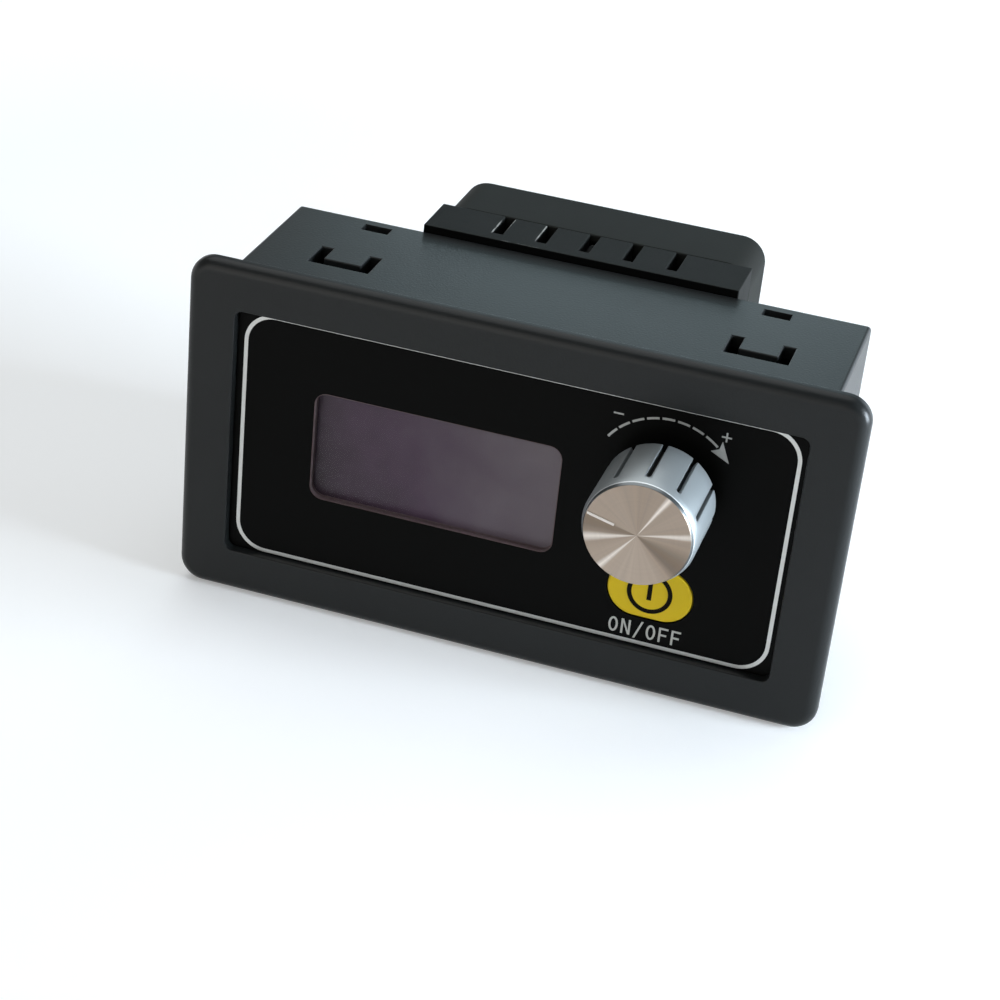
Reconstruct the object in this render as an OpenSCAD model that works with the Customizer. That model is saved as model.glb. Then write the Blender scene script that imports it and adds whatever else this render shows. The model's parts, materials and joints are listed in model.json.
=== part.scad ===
// Panel-mounted DC electronic load: bezel case, display, rotary knob with push switch,
// on/off key, control and power boards, load terminals, supply jack, heat sink and fan.
// Frame: +X to the right seen from the front, +Y to the rear, +Z up.
// The origin is the centre of the bezel's rear face, where the bezel sits on a panel.

/* [Bezel] */
// Width of the bezel
bezel_w = 79; // [77:0.5:90]
// Height of the bezel
bezel_h = 42.7; // [42:0.1:54]
// Thickness of the bezel in front of the panel
bezel_t = 2; // [1.8:0.1:4]
// Radius of the bezel's four corners
bezel_corner_r = 3; // [1.6:0.1:4]
// Radius of the rounded front edge
bezel_edge_r = 1.4; // [0.4:0.1:1.5]
// Overlap of the bezel past each side of the case
bezel_lip = 4.1; // [3:0.1:5]
// Width of the bezel's frame at each side of the faceplate
bezel_rim = 6; // [5.5:0.1:8]
// Height of the opening in front of the faceplate
opening_h = 31.5; // [31:0.5:36]
// Corner radius of the opening
opening_r = 1; // [0.4:0.1:3]
// Depth of the faceplate below the bezel's front
panel_recess = 1.1; // [0.4:0.1:1.6]

/* [Case] */
// Height of the case behind the bezel
case_h = 39; // [37.5:0.1:41]
// Depth of the case behind the bezel
case_d = 22.2; // [21.5:0.1:30]
// Wall thickness of the case
wall = 1.6; // [1.2:0.1:2]
// Outer corner radius of the case
case_corner_r = 0.5; // [0.2:0.1:1.2]
// Thickness of the web that carries the faceplate
web_t = 1.5; // [1.3:0.1:2.5]
// Side of the square pillars in front of the control board
pillar_w = 3.6; // [2.5:0.1:4.5]

/* [Board tongues] */
// Distance of each tongue from the middle of the case
tongue_x = 24.8; // [20:0.1:26]
// Width of a tongue
tongue_w = 4.6; // [2.5:0.1:6]
// Length of a tongue
tongue_l = 3.2; // [2:0.1:5]
// Width of the slots beside a tongue
tongue_side_gap = 1.4; // [0.8:0.1:2.5]
// Width of the slot in front of a tongue
tongue_front_gap = 1.5; // [0.8:0.1:2.5]
// How far a tongue's hook stands in from the wall
hook_h = 0.8; // [0.6:0.1:1.2]
// Distance of the power board's tabs from the middle of the case
tab_x = 24.65; // [21:0.05:28]
// Width of the slots for the power board's tabs
tab_slot_w = 3.3; // [2:0.1:6]

/* [Side latches] */
// Width of a latch
latch_w = 8; // [5:0.5:12]
// Length of a latch arm
latch_l = 10; // [7:0.5:14]
// How far a latch stands out from the wall
latch_h = 1.2; // [0.6:0.1:1.6]
// Thickest panel that a latch takes
latch_panel_t = 3; // [2.5:0.1:5]
// Width of the slot round a latch arm
latch_gap = 1; // [0.6:0.1:1.5]

/* [Faceplate and display] */
// Thickness of the faceplate
faceplate_t = 0.8; // [0.5:0.1:1.2]
// Width of the display window
window_w = 29.9; // [24:0.1:33]
// Height of the display window
window_h = 13.9; // [10:0.1:18]
// Corner radius of the display window
window_r = 1.6; // [0.5:0.1:3]
// Sideways place of the display window
window_x = -8.7; // [-11:0.05:-8]
// Height of the display window's middle
window_z = 0.35; // [-1:0.05:1]
// Width of the flange round the window lens
lens_flange = 1.4; // [0.8:0.1:2]
// Thickness of the flange round the window lens
lens_flange_t = 0.3; // [0.2:0.1:0.6]
// Thickness of the display glass
glass_t = 2.2; // [1.2:0.1:3]
// Rim of the display's backlight tray round the glass
tray_rim = 0.9; // [0.5:0.1:1.5]

/* [Boards] */
// Thickness of both circuit boards
board_t = 1.6; // [1:0.1:2]
// Distance from the web to the control board
board_standoff = 5.7; // [5.4:0.1:8]
// Distance from the case's rear edge to the power board
power_board_inset = 1.4; // [0.8:0.1:2.5]

/* [Knob] */
// Sideways place of the knob
knob_x = 18.15; // [17.5:0.05:20]
// Height of the knob's axis
knob_z = 5.5; // [4.5:0.1:7]
// Diameter of the knob
knob_d = 13; // [11:0.1:16]
// Length of the knob
knob_h = 9.6; // [7:0.1:14]
// Gap between the faceplate and the knob
knob_standoff = 2.4; // [1.5:0.1:4]
// Wall thickness of the knob's metal cap
knob_wall = 0.9; // [0.6:0.1:1.4]
// Thickness of the knob's front
knob_front_t = 1.2; // [0.9:0.1:2]
// Width of the bevel round the knob's front
knob_bevel = 0.5; // [0.3:0.05:1.2]
// Length of the bevel along the knob's side
knob_bevel_l = 1.2; // [0.3:0.05:1.3]
// Number of grip slots round the knob
knob_slots = 11; // [6:1:16]
// Width of a grip slot
knob_slot_w = 0.55; // [0.4:0.05:1.2]
// Distance from the knob's front to the end of a grip slot
knob_slot_stop = 1.6; // [1.4:0.1:4]
// Angle of the pointer line on the knob's front
pointer_angle = 166; // [0:1:359]
// Width of the pointer line
pointer_w = 0.6; // [0.3:0.1:1]
// Depth of the pointer line
pointer_depth = 0.25; // [0.1:0.05:0.5]
// Distance of the pointer line's inner end from the axis
pointer_inner = 2.6; // [1:0.1:4]

/* [Rotary encoder] */
// Side of the square encoder body
encoder_w = 11.7; // [11:0.1:13]
// Diameter of the shaft
shaft_d = 6; // [5:0.1:6.5]
// Depth of the flat on the shaft
shaft_flat = 1.5; // [0.5:0.1:2]
// Wall of the bush round the shaft
bush_wall = 0.45; // [0.4:0.05:1.2]
// Thickness of the plate that carries the bush
bush_plate_t = 1.2; // [1.1:0.1:1.5]
// Side of the square tenon that drives the detent wheel
tenon_w = 2.8; // [2:0.1:3.4]
// Thickness of the detent wheel
detent_t = 1.2; // [0.8:0.1:1.3]
// Number of detents in one turn
detents = 20; // [12:1:24]
// Travel of the knob's push switch
push_travel = 0.5; // [0.3:0.05:0.6]

/* [On/off key] */
// Sideways place of the key
key_x = 18.3; // [16:0.05:20]
// Height of the key's middle
key_z = -8.4; // [-9:0.1:-7.5]
// Width of the key
key_w = 10.1; // [8:0.1:14]
// Height of the key
key_h = 6.9; // [5:0.1:8]
// Travel of the key
key_travel = 0.3; // [0.15:0.05:0.35]
// Width of the flange that keeps the key behind the faceplate
key_flange = 0.8; // [0.5:0.1:1.2]
// Thickness of the key's flange
key_flange_t = 0.4; // [0.3:0.05:0.45]
// Side of the square push switch
switch_w = 6; // [5:0.1:6.5]
// Height of the push switch
switch_h = 3.5; // [2.8:0.1:4]
// Diameter of the push switch's plunger
plunger_d = 3.5; // [2.5:0.1:4]

/* [Heat sink] */
// Depth of the heat sink
sink_d = 7.4; // [7:0.1:14]
// Height of the heat sink's and the fan's middle above the middle of the case
sink_rise = 0.9; // [0:0.1:1.2]
// Thickness of the heat sink's base
sink_base_t = 1.9; // [1.5:0.1:3]
// Number of air slots in the heat sink
sink_slots = 5; // [3:2:5]
// Spacing of the air slots
sink_pitch = 5.4; // [4:0.1:5.6]
// Width of an air slot
sink_slot_w = 1.3; // [1.2:0.1:2]
// Distance of a mounting post from the heat sink's edge
post_inset = 6.5; // [5.8:0.1:6.8]
// Diameter of a mounting post
post_d = 5; // [4:0.1:6]

/* [Fan] */
// Side of the square fan
fan_w = 39; // [38:0.5:41]
// Depth of the fan
fan_d = 9.5; // [9.5:0.1:15]
// Corner radius of the fan's frame
fan_corner_r = 3.2; // [1:0.1:4]
// Thinnest wall of the frame beside its bore
fan_wall = 1; // [0.6:0.1:1.3]
// Distance of a screw hole from the frame's edge
fan_hole_inset = 3.5; // [3.4:0.1:4.2]
// Diameter of a screw hole in the frame
fan_hole_d = 4.3; // [3.4:0.1:4.4]
// Diameter of the fan's hub
hub_d = 25; // [23:0.5:27]
// Number of blades
blades = 7; // [5:1:9]
// Thickness of a blade at its middle
blade_t = 1.1; // [0.7:0.1:1.6]
// Turn of a blade from its front edge to its rear edge
blade_twist = 48; // [20:1:50]
// Gap between the blades and the bore
tip_gap = 0.5; // [0.3:0.1:1]
// Diameter of the fan's shaft
fan_shaft_d = 2; // [1.5:0.1:2.4]

/* [Connectors] */
// Height of the load terminals' middle
terminal_z = 0; // [-4:0.5:4]
// Spacing of the two load terminals
terminal_pitch = 5.08; // [5:0.02:5.2]
// Depth of the terminal block
terminal_d = 8; // [7.6:0.1:8.5]
// Clamping travel of a load terminal
clamp_travel = 2; // [1:0.1:2]
// Length of the supply jack
jack_l = 14.2; // [12.5:0.1:15]
// Width of the supply jack
jack_w = 9; // [8.8:0.1:10]
// Diameter of the supply jack's socket
jack_bore_d = 6.3; // [6:0.1:6.6]
// Diameter of the supply jack's centre pin
jack_pin_d = 2; // [1.6:0.1:2.5]

/* [Hidden] */
$fn = 48;

// Clearances: fixed pieces, moving pieces, running shafts, pieces cemented together, boards in the case
fit = 0.1;
slide_gap = 0.1;
running_gap = 0.05;
bond = 0.02;
board_gap = 0.3;
// Extra length of a cutter past the face that it cuts
over = 1;

// Planes along the depth, from front to rear
front_y = -bezel_t;
face_y = front_y + panel_recess;
web_y = face_y + faceplate_t;
web_back_y = web_y + web_t;
control_y = web_back_y + board_standoff;
control_back_y = control_y + board_t;
power_back_y = case_d - power_board_inset;
power_y = power_back_y - board_t;
sink_y = case_d + fit;
sink_floor_y = sink_y + sink_base_t;
fan_y = sink_y + sink_d;
fan_back_y = fan_y + fan_d;

// Case and faceplate opening inside the bezel's width
case_w = bezel_w - 2 * bezel_lip;
opening_w = bezel_w - 2 * bezel_rim;

// Inside of the case and the boards that fill it
inner_w = case_w - 2 * wall;
inner_h = case_h - 2 * wall;
board_w = inner_w - 2 * board_gap;
board_h = inner_h - 2 * board_gap;
tongue_end_y = control_back_y + fit;
hook_l = 2;
tab_reach = 0.7;
rib_w = 3;
rib_h = 1.2;
rib_l = 6;
rib_z = 11;
latch_ramp = 0.7;

// Window lens, display glass and backlight tray
glass_w = window_w + 2 * lens_flange;
glass_h = window_h + 2 * lens_flange;
glass_y = web_y + lens_flange_t + fit;
glass_back_y = glass_y + glass_t;
flange_corner_r = 0.8;

// Knob planes and radii
knob_r = knob_d / 2;
core_r = knob_r - knob_wall - bond;
knob_base_y = face_y - knob_standoff;
knob_front_y = knob_base_y - knob_h;
core_front_y = knob_front_y + knob_front_t;
core_front_t = 1;
socket_stop_y = core_front_y + core_front_t;

// Encoder planes and radii
shaft_r = shaft_d / 2;
shaft_tip_y = socket_stop_y + fit;
bush_bore_r = shaft_r + running_gap;
bush_r = bush_bore_r + bush_wall;
bush_front_y = knob_base_y + push_travel + 3 * fit;
cup_y = web_back_y + bush_plate_t;
cup_floor_t = 1;
cup_wall = 0.9;
cup_floor_y = control_y - cup_floor_t;
cup_r = encoder_w / 2 - cup_wall;
detent_y = cup_y + fit;
detent_r = cup_r - 2 * fit;
detent_notch_r = 0.35;
shoulder_y = detent_y - push_travel - slide_gap;
tenon_end_y = detent_y + detent_t + push_travel;
push_plate_y = tenon_end_y + bond;
push_plate_t = 0.6;
push_contact_t = 0.2;
push_contact_r = 2.5;

// Round pins that the encoder and the push switch stand on
pin_r = 0.45;
pin_tail = 1;
encoder_pin_pitch = 2.5;
encoder_pin_inset = 1.1;
encoder_pin_z = encoder_w / 2 - encoder_pin_inset;
switch_leg_inset = 0.8;
switch_leg = switch_w / 2 - switch_leg_inset;

// Key planes and the push switch behind the key
key_flange_y = web_y + fit / 2;
key_back_y = key_flange_y + key_flange_t;
key_pocket_y = key_back_y + key_travel + slide_gap;
switch_y = control_y - switch_h;
plunger_r = plunger_d / 2;
plunger_y = key_back_y + bond;
plunger_well = 2;
plunger_end_y = switch_y + plunger_well - key_travel - slide_gap;

// Screws: shank radius, head radius and head height
screw_r = 1.5;
screw_head_r = 2.75;
screw_head_h = 2;
small_screw_r = 1.25;
small_head_r = 2.3;
small_head_h = 1.7;

// Power transistor, clamped flat on the heat sink through a window in the power board
pad_t = 0.3;
pad_margin = 1;
transistor_w = 10;
transistor_h = 15.4;
transistor_body_h = 9;
transistor_t = 4.5;
frame_t = 1.3;
frame_back_y = sink_y - pad_t;
frame_y = frame_back_y - frame_t;
transistor_top_z = transistor_h / 2;
transistor_low_z = -transistor_h / 2;
transistor_hole_inset = 3.1;
transistor_screw_z = transistor_top_z - transistor_hole_inset;
lead_w = 0.8;
lead_t = 0.6;
lead_l = 5;
lead_pitch = 2.54;

// Heat sink, with the fan's outline, and the posts that stand on the power board
sink_w = fan_w;
sink_h = fan_w;
post_x = sink_w / 2 - post_inset;
post_z = sink_h / 2 - post_inset;

// Fan, from the frame in to the shaft
fan_bore_r = fan_w / 2 - fan_wall;
fan_hole = fan_w / 2 - fan_hole_inset;
fan_screw_depth = 4;
struts = 4;
strut_w = 2.2;
motor_t = 1.3;
motor_y = fan_y + 3 * fit;
motor_back_y = motor_y + motor_t;
hub_r = hub_d / 2;
hub_wall = 1.3;
hub_floor_t = 1.3;
hub_front_gap = 0.6;
hub_back_gap = 0.6;
hub_y = motor_back_y + hub_front_gap;
hub_back_y = fan_back_y - hub_back_gap;
hub_floor_y = hub_back_y - hub_floor_t;
hub_edge = 0.5;
fan_shaft_r = fan_shaft_d / 2;
sleeve_wall = 1.2;
sleeve_r = fan_shaft_r + sleeve_wall;
tube_wall = 0.7;
tube_end_gap = 1.2;
tube_bore_r = sleeve_r + bond;
tube_r = tube_bore_r + tube_wall;
tube_back_y = hub_floor_y - tube_end_gap;
boss_wall = 1.4;
boss_gap = 0.4;
boss_r = fan_shaft_r + boss_wall;
boss_y = tube_back_y + boss_gap;
magnet_t = 1.4;
magnet_r = hub_r - hub_wall - running_gap;
magnet_bore_r = magnet_r - magnet_t;
air_gap = 0.4;
stator_r = magnet_bore_r - air_gap;
stator_ring_t = 1.2;
stator_ring_r = tube_r + stator_ring_t;
stator_lift = 1.4;
stator_y = motor_back_y + stator_lift;
stator_t = 2.4;
poles = 4;
pole_w = 2.4;
pole_t = 1.2;
pole_half_angle = 32;
coil_t = 0.9;
blade_sunk = 0.5;
blade_root_r = hub_r - blade_sunk;
blade_tip_r = fan_bore_r - tip_gap;
blade_inset = 0.3;
blade_y = hub_y + blade_inset;
blade_back_y = hub_back_y - blade_inset;
blade_lean = 6;
blade_steps = 5;

// Fan lead: two wires over the rim of the middle air slot, down it and through the base to the power board
wire_r = 0.45;
wire_sides = 8;
wire_lift = 0.85;
wire_start_y = fan_y + wire_lift;
wire_apart = 0.7;
wire_meet_angle = 60;
wire_arc_inset = 2.9;
wire_arc_step = 1.8;
wire_arc_z = fan_bore_r - wire_arc_inset;
wire_drop = 2.4;
wire_spacing = 2;
wire_turn_z = -11;
wire_turn_r = 1.2;
wire_hole_gap = 0.25;
wire_hole_r = wire_r + wire_hole_gap;

// Load terminal block, seated on the power board at its left edge
terminal_x = -board_w / 2;
terminal_back_x = terminal_x + terminal_d;
terminal_side = 2.8;
terminal_h = 11;
terminal_l = terminal_pitch + 2 * terminal_side;
terminal_lip_h = 6.5;
terminal_lip_in = 1;
terminal_step_h = 8.2;
terminal_step_in = 1.6;
cage_inset = 3.9;
cage_x = terminal_x + cage_inset;
cage_w = 3.8;
cage_d = 4.2;
cage_h = 4.6;
cage_wall = 0.7;
cage_floor_t = 1;
cage_y = power_back_y + cage_floor_t;
cage_top_y = cage_y + cage_h;
bar_t = 0.6;
bar_w = 2;
bar_end = 0.7;
bar_back_y = cage_top_y - cage_wall - slide_gap;
bar_y = bar_back_y - bar_t;
bar_pin_gap = 1;
bar_pin_x = cage_x + cage_d / 2 + bar_pin_gap;
bar_pin_t = 0.8;
entry_w = 3;
clamp_screw_r = 1.2;
clamp_head_r = 1.85;
clamp_head_h = 1.9;
clamp_shelf_t = 0.8;
clamp_shelf_y = cage_top_y + clamp_travel + 2 * slide_gap;
clamp_head_y = clamp_shelf_y + clamp_shelf_t + bond;

// Supply jack, on the power board midway from the heat sink to the right edge, its mouth at the lower edge
jack_x = (sink_w + board_w) / 4;
jack_h = 11;
jack_axis_h = 6.4;
jack_axis_y = power_back_y + jack_axis_h;
jack_mouth_z = -board_h / 2;
jack_flange_l = 3.4;
jack_barrel_r = 4.3;
jack_socket_l = 9.5;
jack_pin_l = 9;
jack_pin_root = 2;
jack_pin_step = 0.2;
jack_bore_r = jack_bore_d / 2;
jack_pin_r = jack_pin_d / 2;
jack_root_r = jack_pin_r - jack_pin_step;
spring_w = 2.2;
spring_t = 0.3;
spring_l = 7;
spring_inset = 2;
spring_drop = 0.6;

// Plug-in link between the two boards, with as many pins as fit between the heat sink's screws
link_pitch = 2.54;
link_end_gap = 0.5;
link_count = 2 * floor((post_x - small_head_r - link_end_gap) / link_pitch);
link_inset = 5;
link_z = board_h / 2 - link_inset;
link_w = 2.5;
link_l = link_count * link_pitch;
link_header_t = 2.5;
link_header_y = power_y - link_header_t;
link_pin_w = 0.64;
link_pin_in = 5.5;
link_tail = 1;

// Small parts on the boards
can_r = 3.15;
can_h = 7.7;
can_inset = 7.5;
can_x = can_inset - board_w / 2;
can_z = 8.5;
crimp_y = 1.6;
crimp_w = 0.6;
crimp_depth = 0.3;
shunt_l = 6.4;
shunt_w = 3.2;
shunt_t = 0.8;
shunt_x = 20;
shunt_z = 5;
chip_w = 7;
chip_t = 1.4;
chip_x = -6;
chip_z = 2;
chip_legs = 8;
chip_leg_pitch = 0.8;
chip_leg_w = 0.35;
chip_leg_l = 1;
chip_leg_t = 0.3;

// Rectangle with round corners, centred
module rounded_rect(w, h, r) {
    square([w - 2 * r, h], center = true);
    square([w, h - 2 * r], center = true);
    for (i = [-1, 1], k = [-1, 1])
        translate([i * (w / 2 - r), k * (h / 2 - r)])
            circle(r);
}

// Oblong with half-round ends, centred
module stadium(w, h) {
    square([w - h, h], center = true);
    for (i = [-1, 1])
        translate([i * (w - h) / 2, 0])
            circle(h / 2);
}

// Outline drawn in X and Z, made solid between two planes of Y
module slab(y0, y1) {
    translate([0, y1, 0])
        rotate([90, 0, 0])
            linear_extrude(y1 - y0)
                children();
}

// Block centred on X and Z between two planes of Y
module block(w, h, y0, y1) {
    slab(y0, y1)
        square([w, h], center = true);
}

// Round bar along Y between two planes
module bar(r, y0, y1) {
    translate([0, y0, 0])
        rotate([-90, 0, 0])
            cylinder(h = y1 - y0, r = r);
}

// Tube along Y between two planes
module tube(r, bore_r, y0, y1) {
    difference() {
        bar(r, y0, y1);
        bar(bore_r, y0 - over, y1 + over);
    }
}

// Profile of radius and Y turned about the Y axis
module turned() {
    rotate([-90, 0, 0])
        rotate_extrude()
            children();
}

// Copies at the four corners of a rectangle in X and Z
module at_corners(x, z) {
    for (i = [-1, 1], k = [-1, 1])
        translate([i * x, 0, k * z])
            children();
}

// A piece and its mirror image at the left and right of the case
module left_and_right() {
    for (i = [0, 1])
        mirror([i, 0, 0])
            children();
}

// A piece and its mirror image at the top and bottom of the case
module top_and_bottom() {
    for (k = [0, 1])
        mirror([0, 0, k])
            children();
}

// Copies turned about the Y axis, the first at the start angle from +X towards +Z
module around(count, start = 0) {
    for (i = [0:count - 1])
        rotate([0, -start - i * 360 / count, 0])
            children();
}

module at_window() {
    translate([window_x, 0, window_z])
        children();
}

module at_knob() {
    translate([knob_x, 0, knob_z])
        children();
}

module at_key() {
    translate([key_x, 0, key_z])
        children();
}

module at_sink() {
    translate([0, 0, sink_rise])
        children();
}

// Two triangles of a face with four corners
function halves(q) = [[q[0], q[1], q[2]], [q[0], q[2], q[3]]];

// Surface through rings that all have the same even number of points, closed at both ends by strips
// that join each point to the one across the ring
module skin(rings) {
    n = len(rings[0]);
    m = len(rings);
    last = (m - 1) * n;
    faces = concat(
        [for (i = [0:n / 2 - 2]) [n - 1 - i, n - 2 - i, i + 1, i]],
        [for (k = [0:m - 2], i = [0:n - 1])
            [k * n + (i + 1) % n, (k + 1) * n + (i + 1) % n, (k + 1) * n + i, k * n + i]],
        [for (i = [0:n / 2 - 2]) [last + i, last + i + 1, last + n - 2 - i, last + n - 1 - i]]
    );
    polyhedron(
        points = [for (ring = rings) each ring],
        faces = [for (f = faces) each halves(f)]
    );
}

// Pan-head screw along Y: the head's flat side is at y and the shank runs on by l
module screw(r, head_r, head_h, y, l) {
    dome_r = head_r * 1.25;
    recess_w = head_r * 1.2;
    recess_t = 0.4;
    translate([0, y, 0])
        difference() {
            union() {
                bar(r, -bond, l);
                turned()
                    intersection() {
                        translate([0, -head_h]) square([head_r, head_h]);
                        translate([0, dome_r - head_h]) circle(dome_r);
                    }
            }
            for (a = [0, 90])
                rotate([0, a, 0])
                    block(recess_w, recess_t, -head_h - over, -head_h / 2);
        }
}

// Section of the bezel's rim: flat behind, quarter-round in front
module rim_profile() {
    e = bezel_edge_r;
    r = bezel_corner_r;
    translate([0, front_y]) square([r - e, e]);
    intersection() {
        translate([r - e, front_y + e]) circle(e);
        translate([r - e, front_y]) square(e);
    }
}

// Bezel plate with round corners and a rounded front edge
module bezel_plate() {
    x = bezel_w / 2 - bezel_corner_r;
    z = bezel_h / 2 - bezel_corner_r;
    slab(front_y + bezel_edge_r, 0)
        rounded_rect(bezel_w, bezel_h, bezel_corner_r);
    block(2 * x, 2 * z, front_y, front_y + bezel_edge_r);
    at_corners(x, z)
        turned() rim_profile();
    left_and_right()
        translate([x, 0, -z])
            linear_extrude(2 * z) rim_profile();
    top_and_bottom()
        translate([x, 0, z])
            rotate([0, -90, 0])
                linear_extrude(2 * x) rim_profile();
}

// U-shaped cut round a tongue that holds the control board, and the slot for a tab of the power board
module top_wall_cuts() {
    half = tongue_w / 2 + tongue_side_gap;
    bar_front_y = tongue_end_y - tongue_front_gap;
    cut_z = inner_h / 2 - wall / 2;
    translate([tongue_x, 0, cut_z])
        linear_extrude(2 * wall)
            difference() {
                translate([-half, bar_front_y])
                    square([2 * half, tongue_front_gap + tongue_l]);
                translate([-tongue_w / 2, tongue_end_y])
                    square([tongue_w, tongue_l + over]);
            }
    translate([tab_x - tab_slot_w / 2, power_y - fit / 2, cut_z])
        cube([tab_slot_w, board_t + fit, 2 * wall]);
}

// Hook under a tongue, behind the control board's rear face
module tongue_hook() {
    translate([tongue_x - tongue_w / 2, 0, inner_h / 2])
        rotate([90, 0, 90])
            linear_extrude(tongue_w)
                polygon([
                    [tongue_end_y, wall / 2], [tongue_end_y, -hook_h],
                    [tongue_end_y + hook_l, 0], [tongue_end_y + hook_l, wall / 2]
                ]);
}

// U-shaped cut round a side latch, open towards the rear
module latch_cut() {
    half = latch_w / 2 + latch_gap;
    translate([inner_w / 2 - wall / 2, 0, 0])
        rotate([90, 0, 90])
            linear_extrude(2 * wall)
                difference() {
                    translate([latch_panel_t - latch_gap, -half])
                        square([latch_gap + latch_l, 2 * half]);
                    translate([latch_panel_t, -latch_w / 2])
                        square([latch_l + over, latch_w]);
                }
}

// Wedge on a side latch: its square front end grips the rear of the panel
module latch_wedge() {
    x = case_w / 2;
    ramp_y = latch_panel_t + latch_ramp * latch_l;
    translate([0, 0, -latch_w / 2])
        linear_extrude(latch_w)
            polygon([
                [x - wall / 2, latch_panel_t], [x + latch_h, latch_panel_t],
                [x, ramp_y], [x - wall / 2, ramp_y]
            ]);
}

// Pillar that stands in front of a corner of the control board
module board_pillar() {
    translate([inner_w / 2 - pillar_w, web_y, inner_h / 2 - pillar_w])
        cube([pillar_w + wall / 2, control_y - web_y, pillar_w + wall / 2]);
}

// Rib on a side wall that the power board rests against
module board_rib() {
    translate([inner_w / 2 - rib_h, power_y - rib_l, rib_z - rib_w / 2])
        cube([rib_h + wall / 2, rib_l, rib_w]);
}

// Openings in the web: display, encoder bush, key and push-switch plunger
module web_openings() {
    at_window()
        block(glass_w + 2 * fit, glass_h + 2 * fit, web_y - over, web_back_y + over);
    at_knob()
        bar(bush_r + 2 * fit, web_y - over, web_back_y + over);
    at_key() {
        slab(web_y - over, key_pocket_y)
            stadium(key_w + 2 * key_flange + 4 * fit, key_h + 2 * key_flange + 4 * fit);
        bar(plunger_r + 2 * fit, web_y, web_back_y + over);
    }
}

module case_shell() {
    color("#33383a") {
        difference() {
            union() {
                bezel_plate();
                slab(front_y + bezel_edge_r, case_d)
                    rounded_rect(case_w, case_h, case_corner_r);
            }
            slab(front_y - over, web_y)
                rounded_rect(opening_w, opening_h, opening_r);
            block(inner_w, inner_h, web_back_y, case_d + over);
            web_openings();
            top_and_bottom()
                left_and_right()
                    top_wall_cuts();
            left_and_right()
                latch_cut();
        }
        top_and_bottom()
            left_and_right() {
                tongue_hook();
                board_pillar();
                board_rib();
            }
        left_and_right()
            latch_wedge();
    }
}

module faceplate() {
    color("#101010")
        difference() {
            slab(face_y, web_y)
                rounded_rect(opening_w - 2 * fit, opening_h - 2 * fit, opening_r);
            at_window()
                slab(face_y - over, web_y + over)
                    rounded_rect(window_w, window_h, window_r);
            at_knob()
                bar(bush_r + 2 * fit, face_y - over, web_y + over);
            at_key()
                slab(face_y - over, web_y + over)
                    stadium(key_w + 2 * slide_gap, key_h + 2 * slide_gap);
        }
}

module window_lens() {
    color("#4a444c", 0.5)
        at_window() {
            slab(face_y + fit, web_y)
                rounded_rect(window_w - 2 * bond, window_h - 2 * bond, window_r);
            slab(web_y, web_y + lens_flange_t)
                rounded_rect(glass_w, glass_h, flange_corner_r);
        }
}

module display_glass() {
    color("#54505a")
        at_window()
            block(glass_w, glass_h, glass_y, glass_back_y);
}

module display_tray() {
    color("#e8e8e4")
        at_window()
            difference() {
                block(glass_w + 2 * tray_rim, glass_h + 2 * tray_rim, web_back_y, control_y);
                block(glass_w + 2 * fit, glass_h + 2 * fit, web_back_y - over, glass_back_y);
            }
}

// Places of the encoder's three switch pins and two push pins
module at_encoder_pins() {
    at_knob() {
        for (i = [-1:1])
            translate([i * encoder_pin_pitch, 0, -encoder_pin_z])
                children();
        for (i = [-1, 1])
            translate([i * encoder_pin_pitch, 0, encoder_pin_z])
                children();
    }
}

module at_switch_legs() {
    at_key()
        at_corners(switch_leg, switch_leg)
            children();
}

module control_board() {
    color("#1c2024")
        difference() {
            block(board_w, board_h, control_y, control_back_y);
            at_encoder_pins()
                bar(pin_r + fit, control_y - over, control_back_y + over);
            at_switch_legs()
                bar(pin_r + fit, control_y - over, control_back_y + over);
        }
}

module controller_chip() {
    color("#1a1a1a")
        translate([chip_x, 0, chip_z]) {
            block(chip_w, chip_w, control_back_y + bond, control_back_y + chip_t);
            around(4)
                for (i = [0:chip_legs - 1])
                    translate([0, 0, (i - (chip_legs - 1) / 2) * chip_leg_pitch])
                        translate([chip_w / 2 - chip_leg_w, control_back_y, -chip_leg_w / 2])
                            cube([chip_leg_w + chip_leg_l, chip_leg_t, chip_leg_w]);
        }
}

module encoder_cup() {
    color("#5a3a22")
        at_knob()
            difference() {
                block(encoder_w, encoder_w, cup_y, control_y);
                bar(cup_r, cup_y - over, cup_floor_y);
            }
}

module encoder_bush() {
    color("#b8b8b4")
        at_knob()
            difference() {
                union() {
                    block(encoder_w, encoder_w, web_back_y, cup_y);
                    bar(bush_r, bush_front_y, cup_y);
                }
                bar(bush_bore_r, bush_front_y - over, cup_y + over);
            }
}

module encoder_pins() {
    color("#c8c4b0")
        at_encoder_pins()
            bar(pin_r, control_y, control_back_y + pin_tail);
}

module push_contact() {
    color("#c8b070")
        at_knob()
            bar(push_contact_r, cup_floor_y - push_contact_t, cup_floor_y);
}

module push_plate() {
    color("#e0ddd4")
        at_knob()
            bar(cup_r - 2 * slide_gap, push_plate_y, push_plate_y + push_plate_t);
}

// Round bar with a flat on its upper side
module flatted_bar(r, y0, y1) {
    difference() {
        bar(r, y0, y1);
        translate([-r - over, y0 - over, r - shaft_flat])
            cube([2 * (r + over), y1 - y0 + 2 * over, shaft_flat + over]);
    }
}

module encoder_shaft() {
    color("#c4c4c0")
        at_knob() {
            flatted_bar(shaft_r, shaft_tip_y, knob_base_y);
            bar(shaft_r, knob_base_y, shoulder_y);
            block(tenon_w, tenon_w, shoulder_y, tenon_end_y);
        }
}

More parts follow.
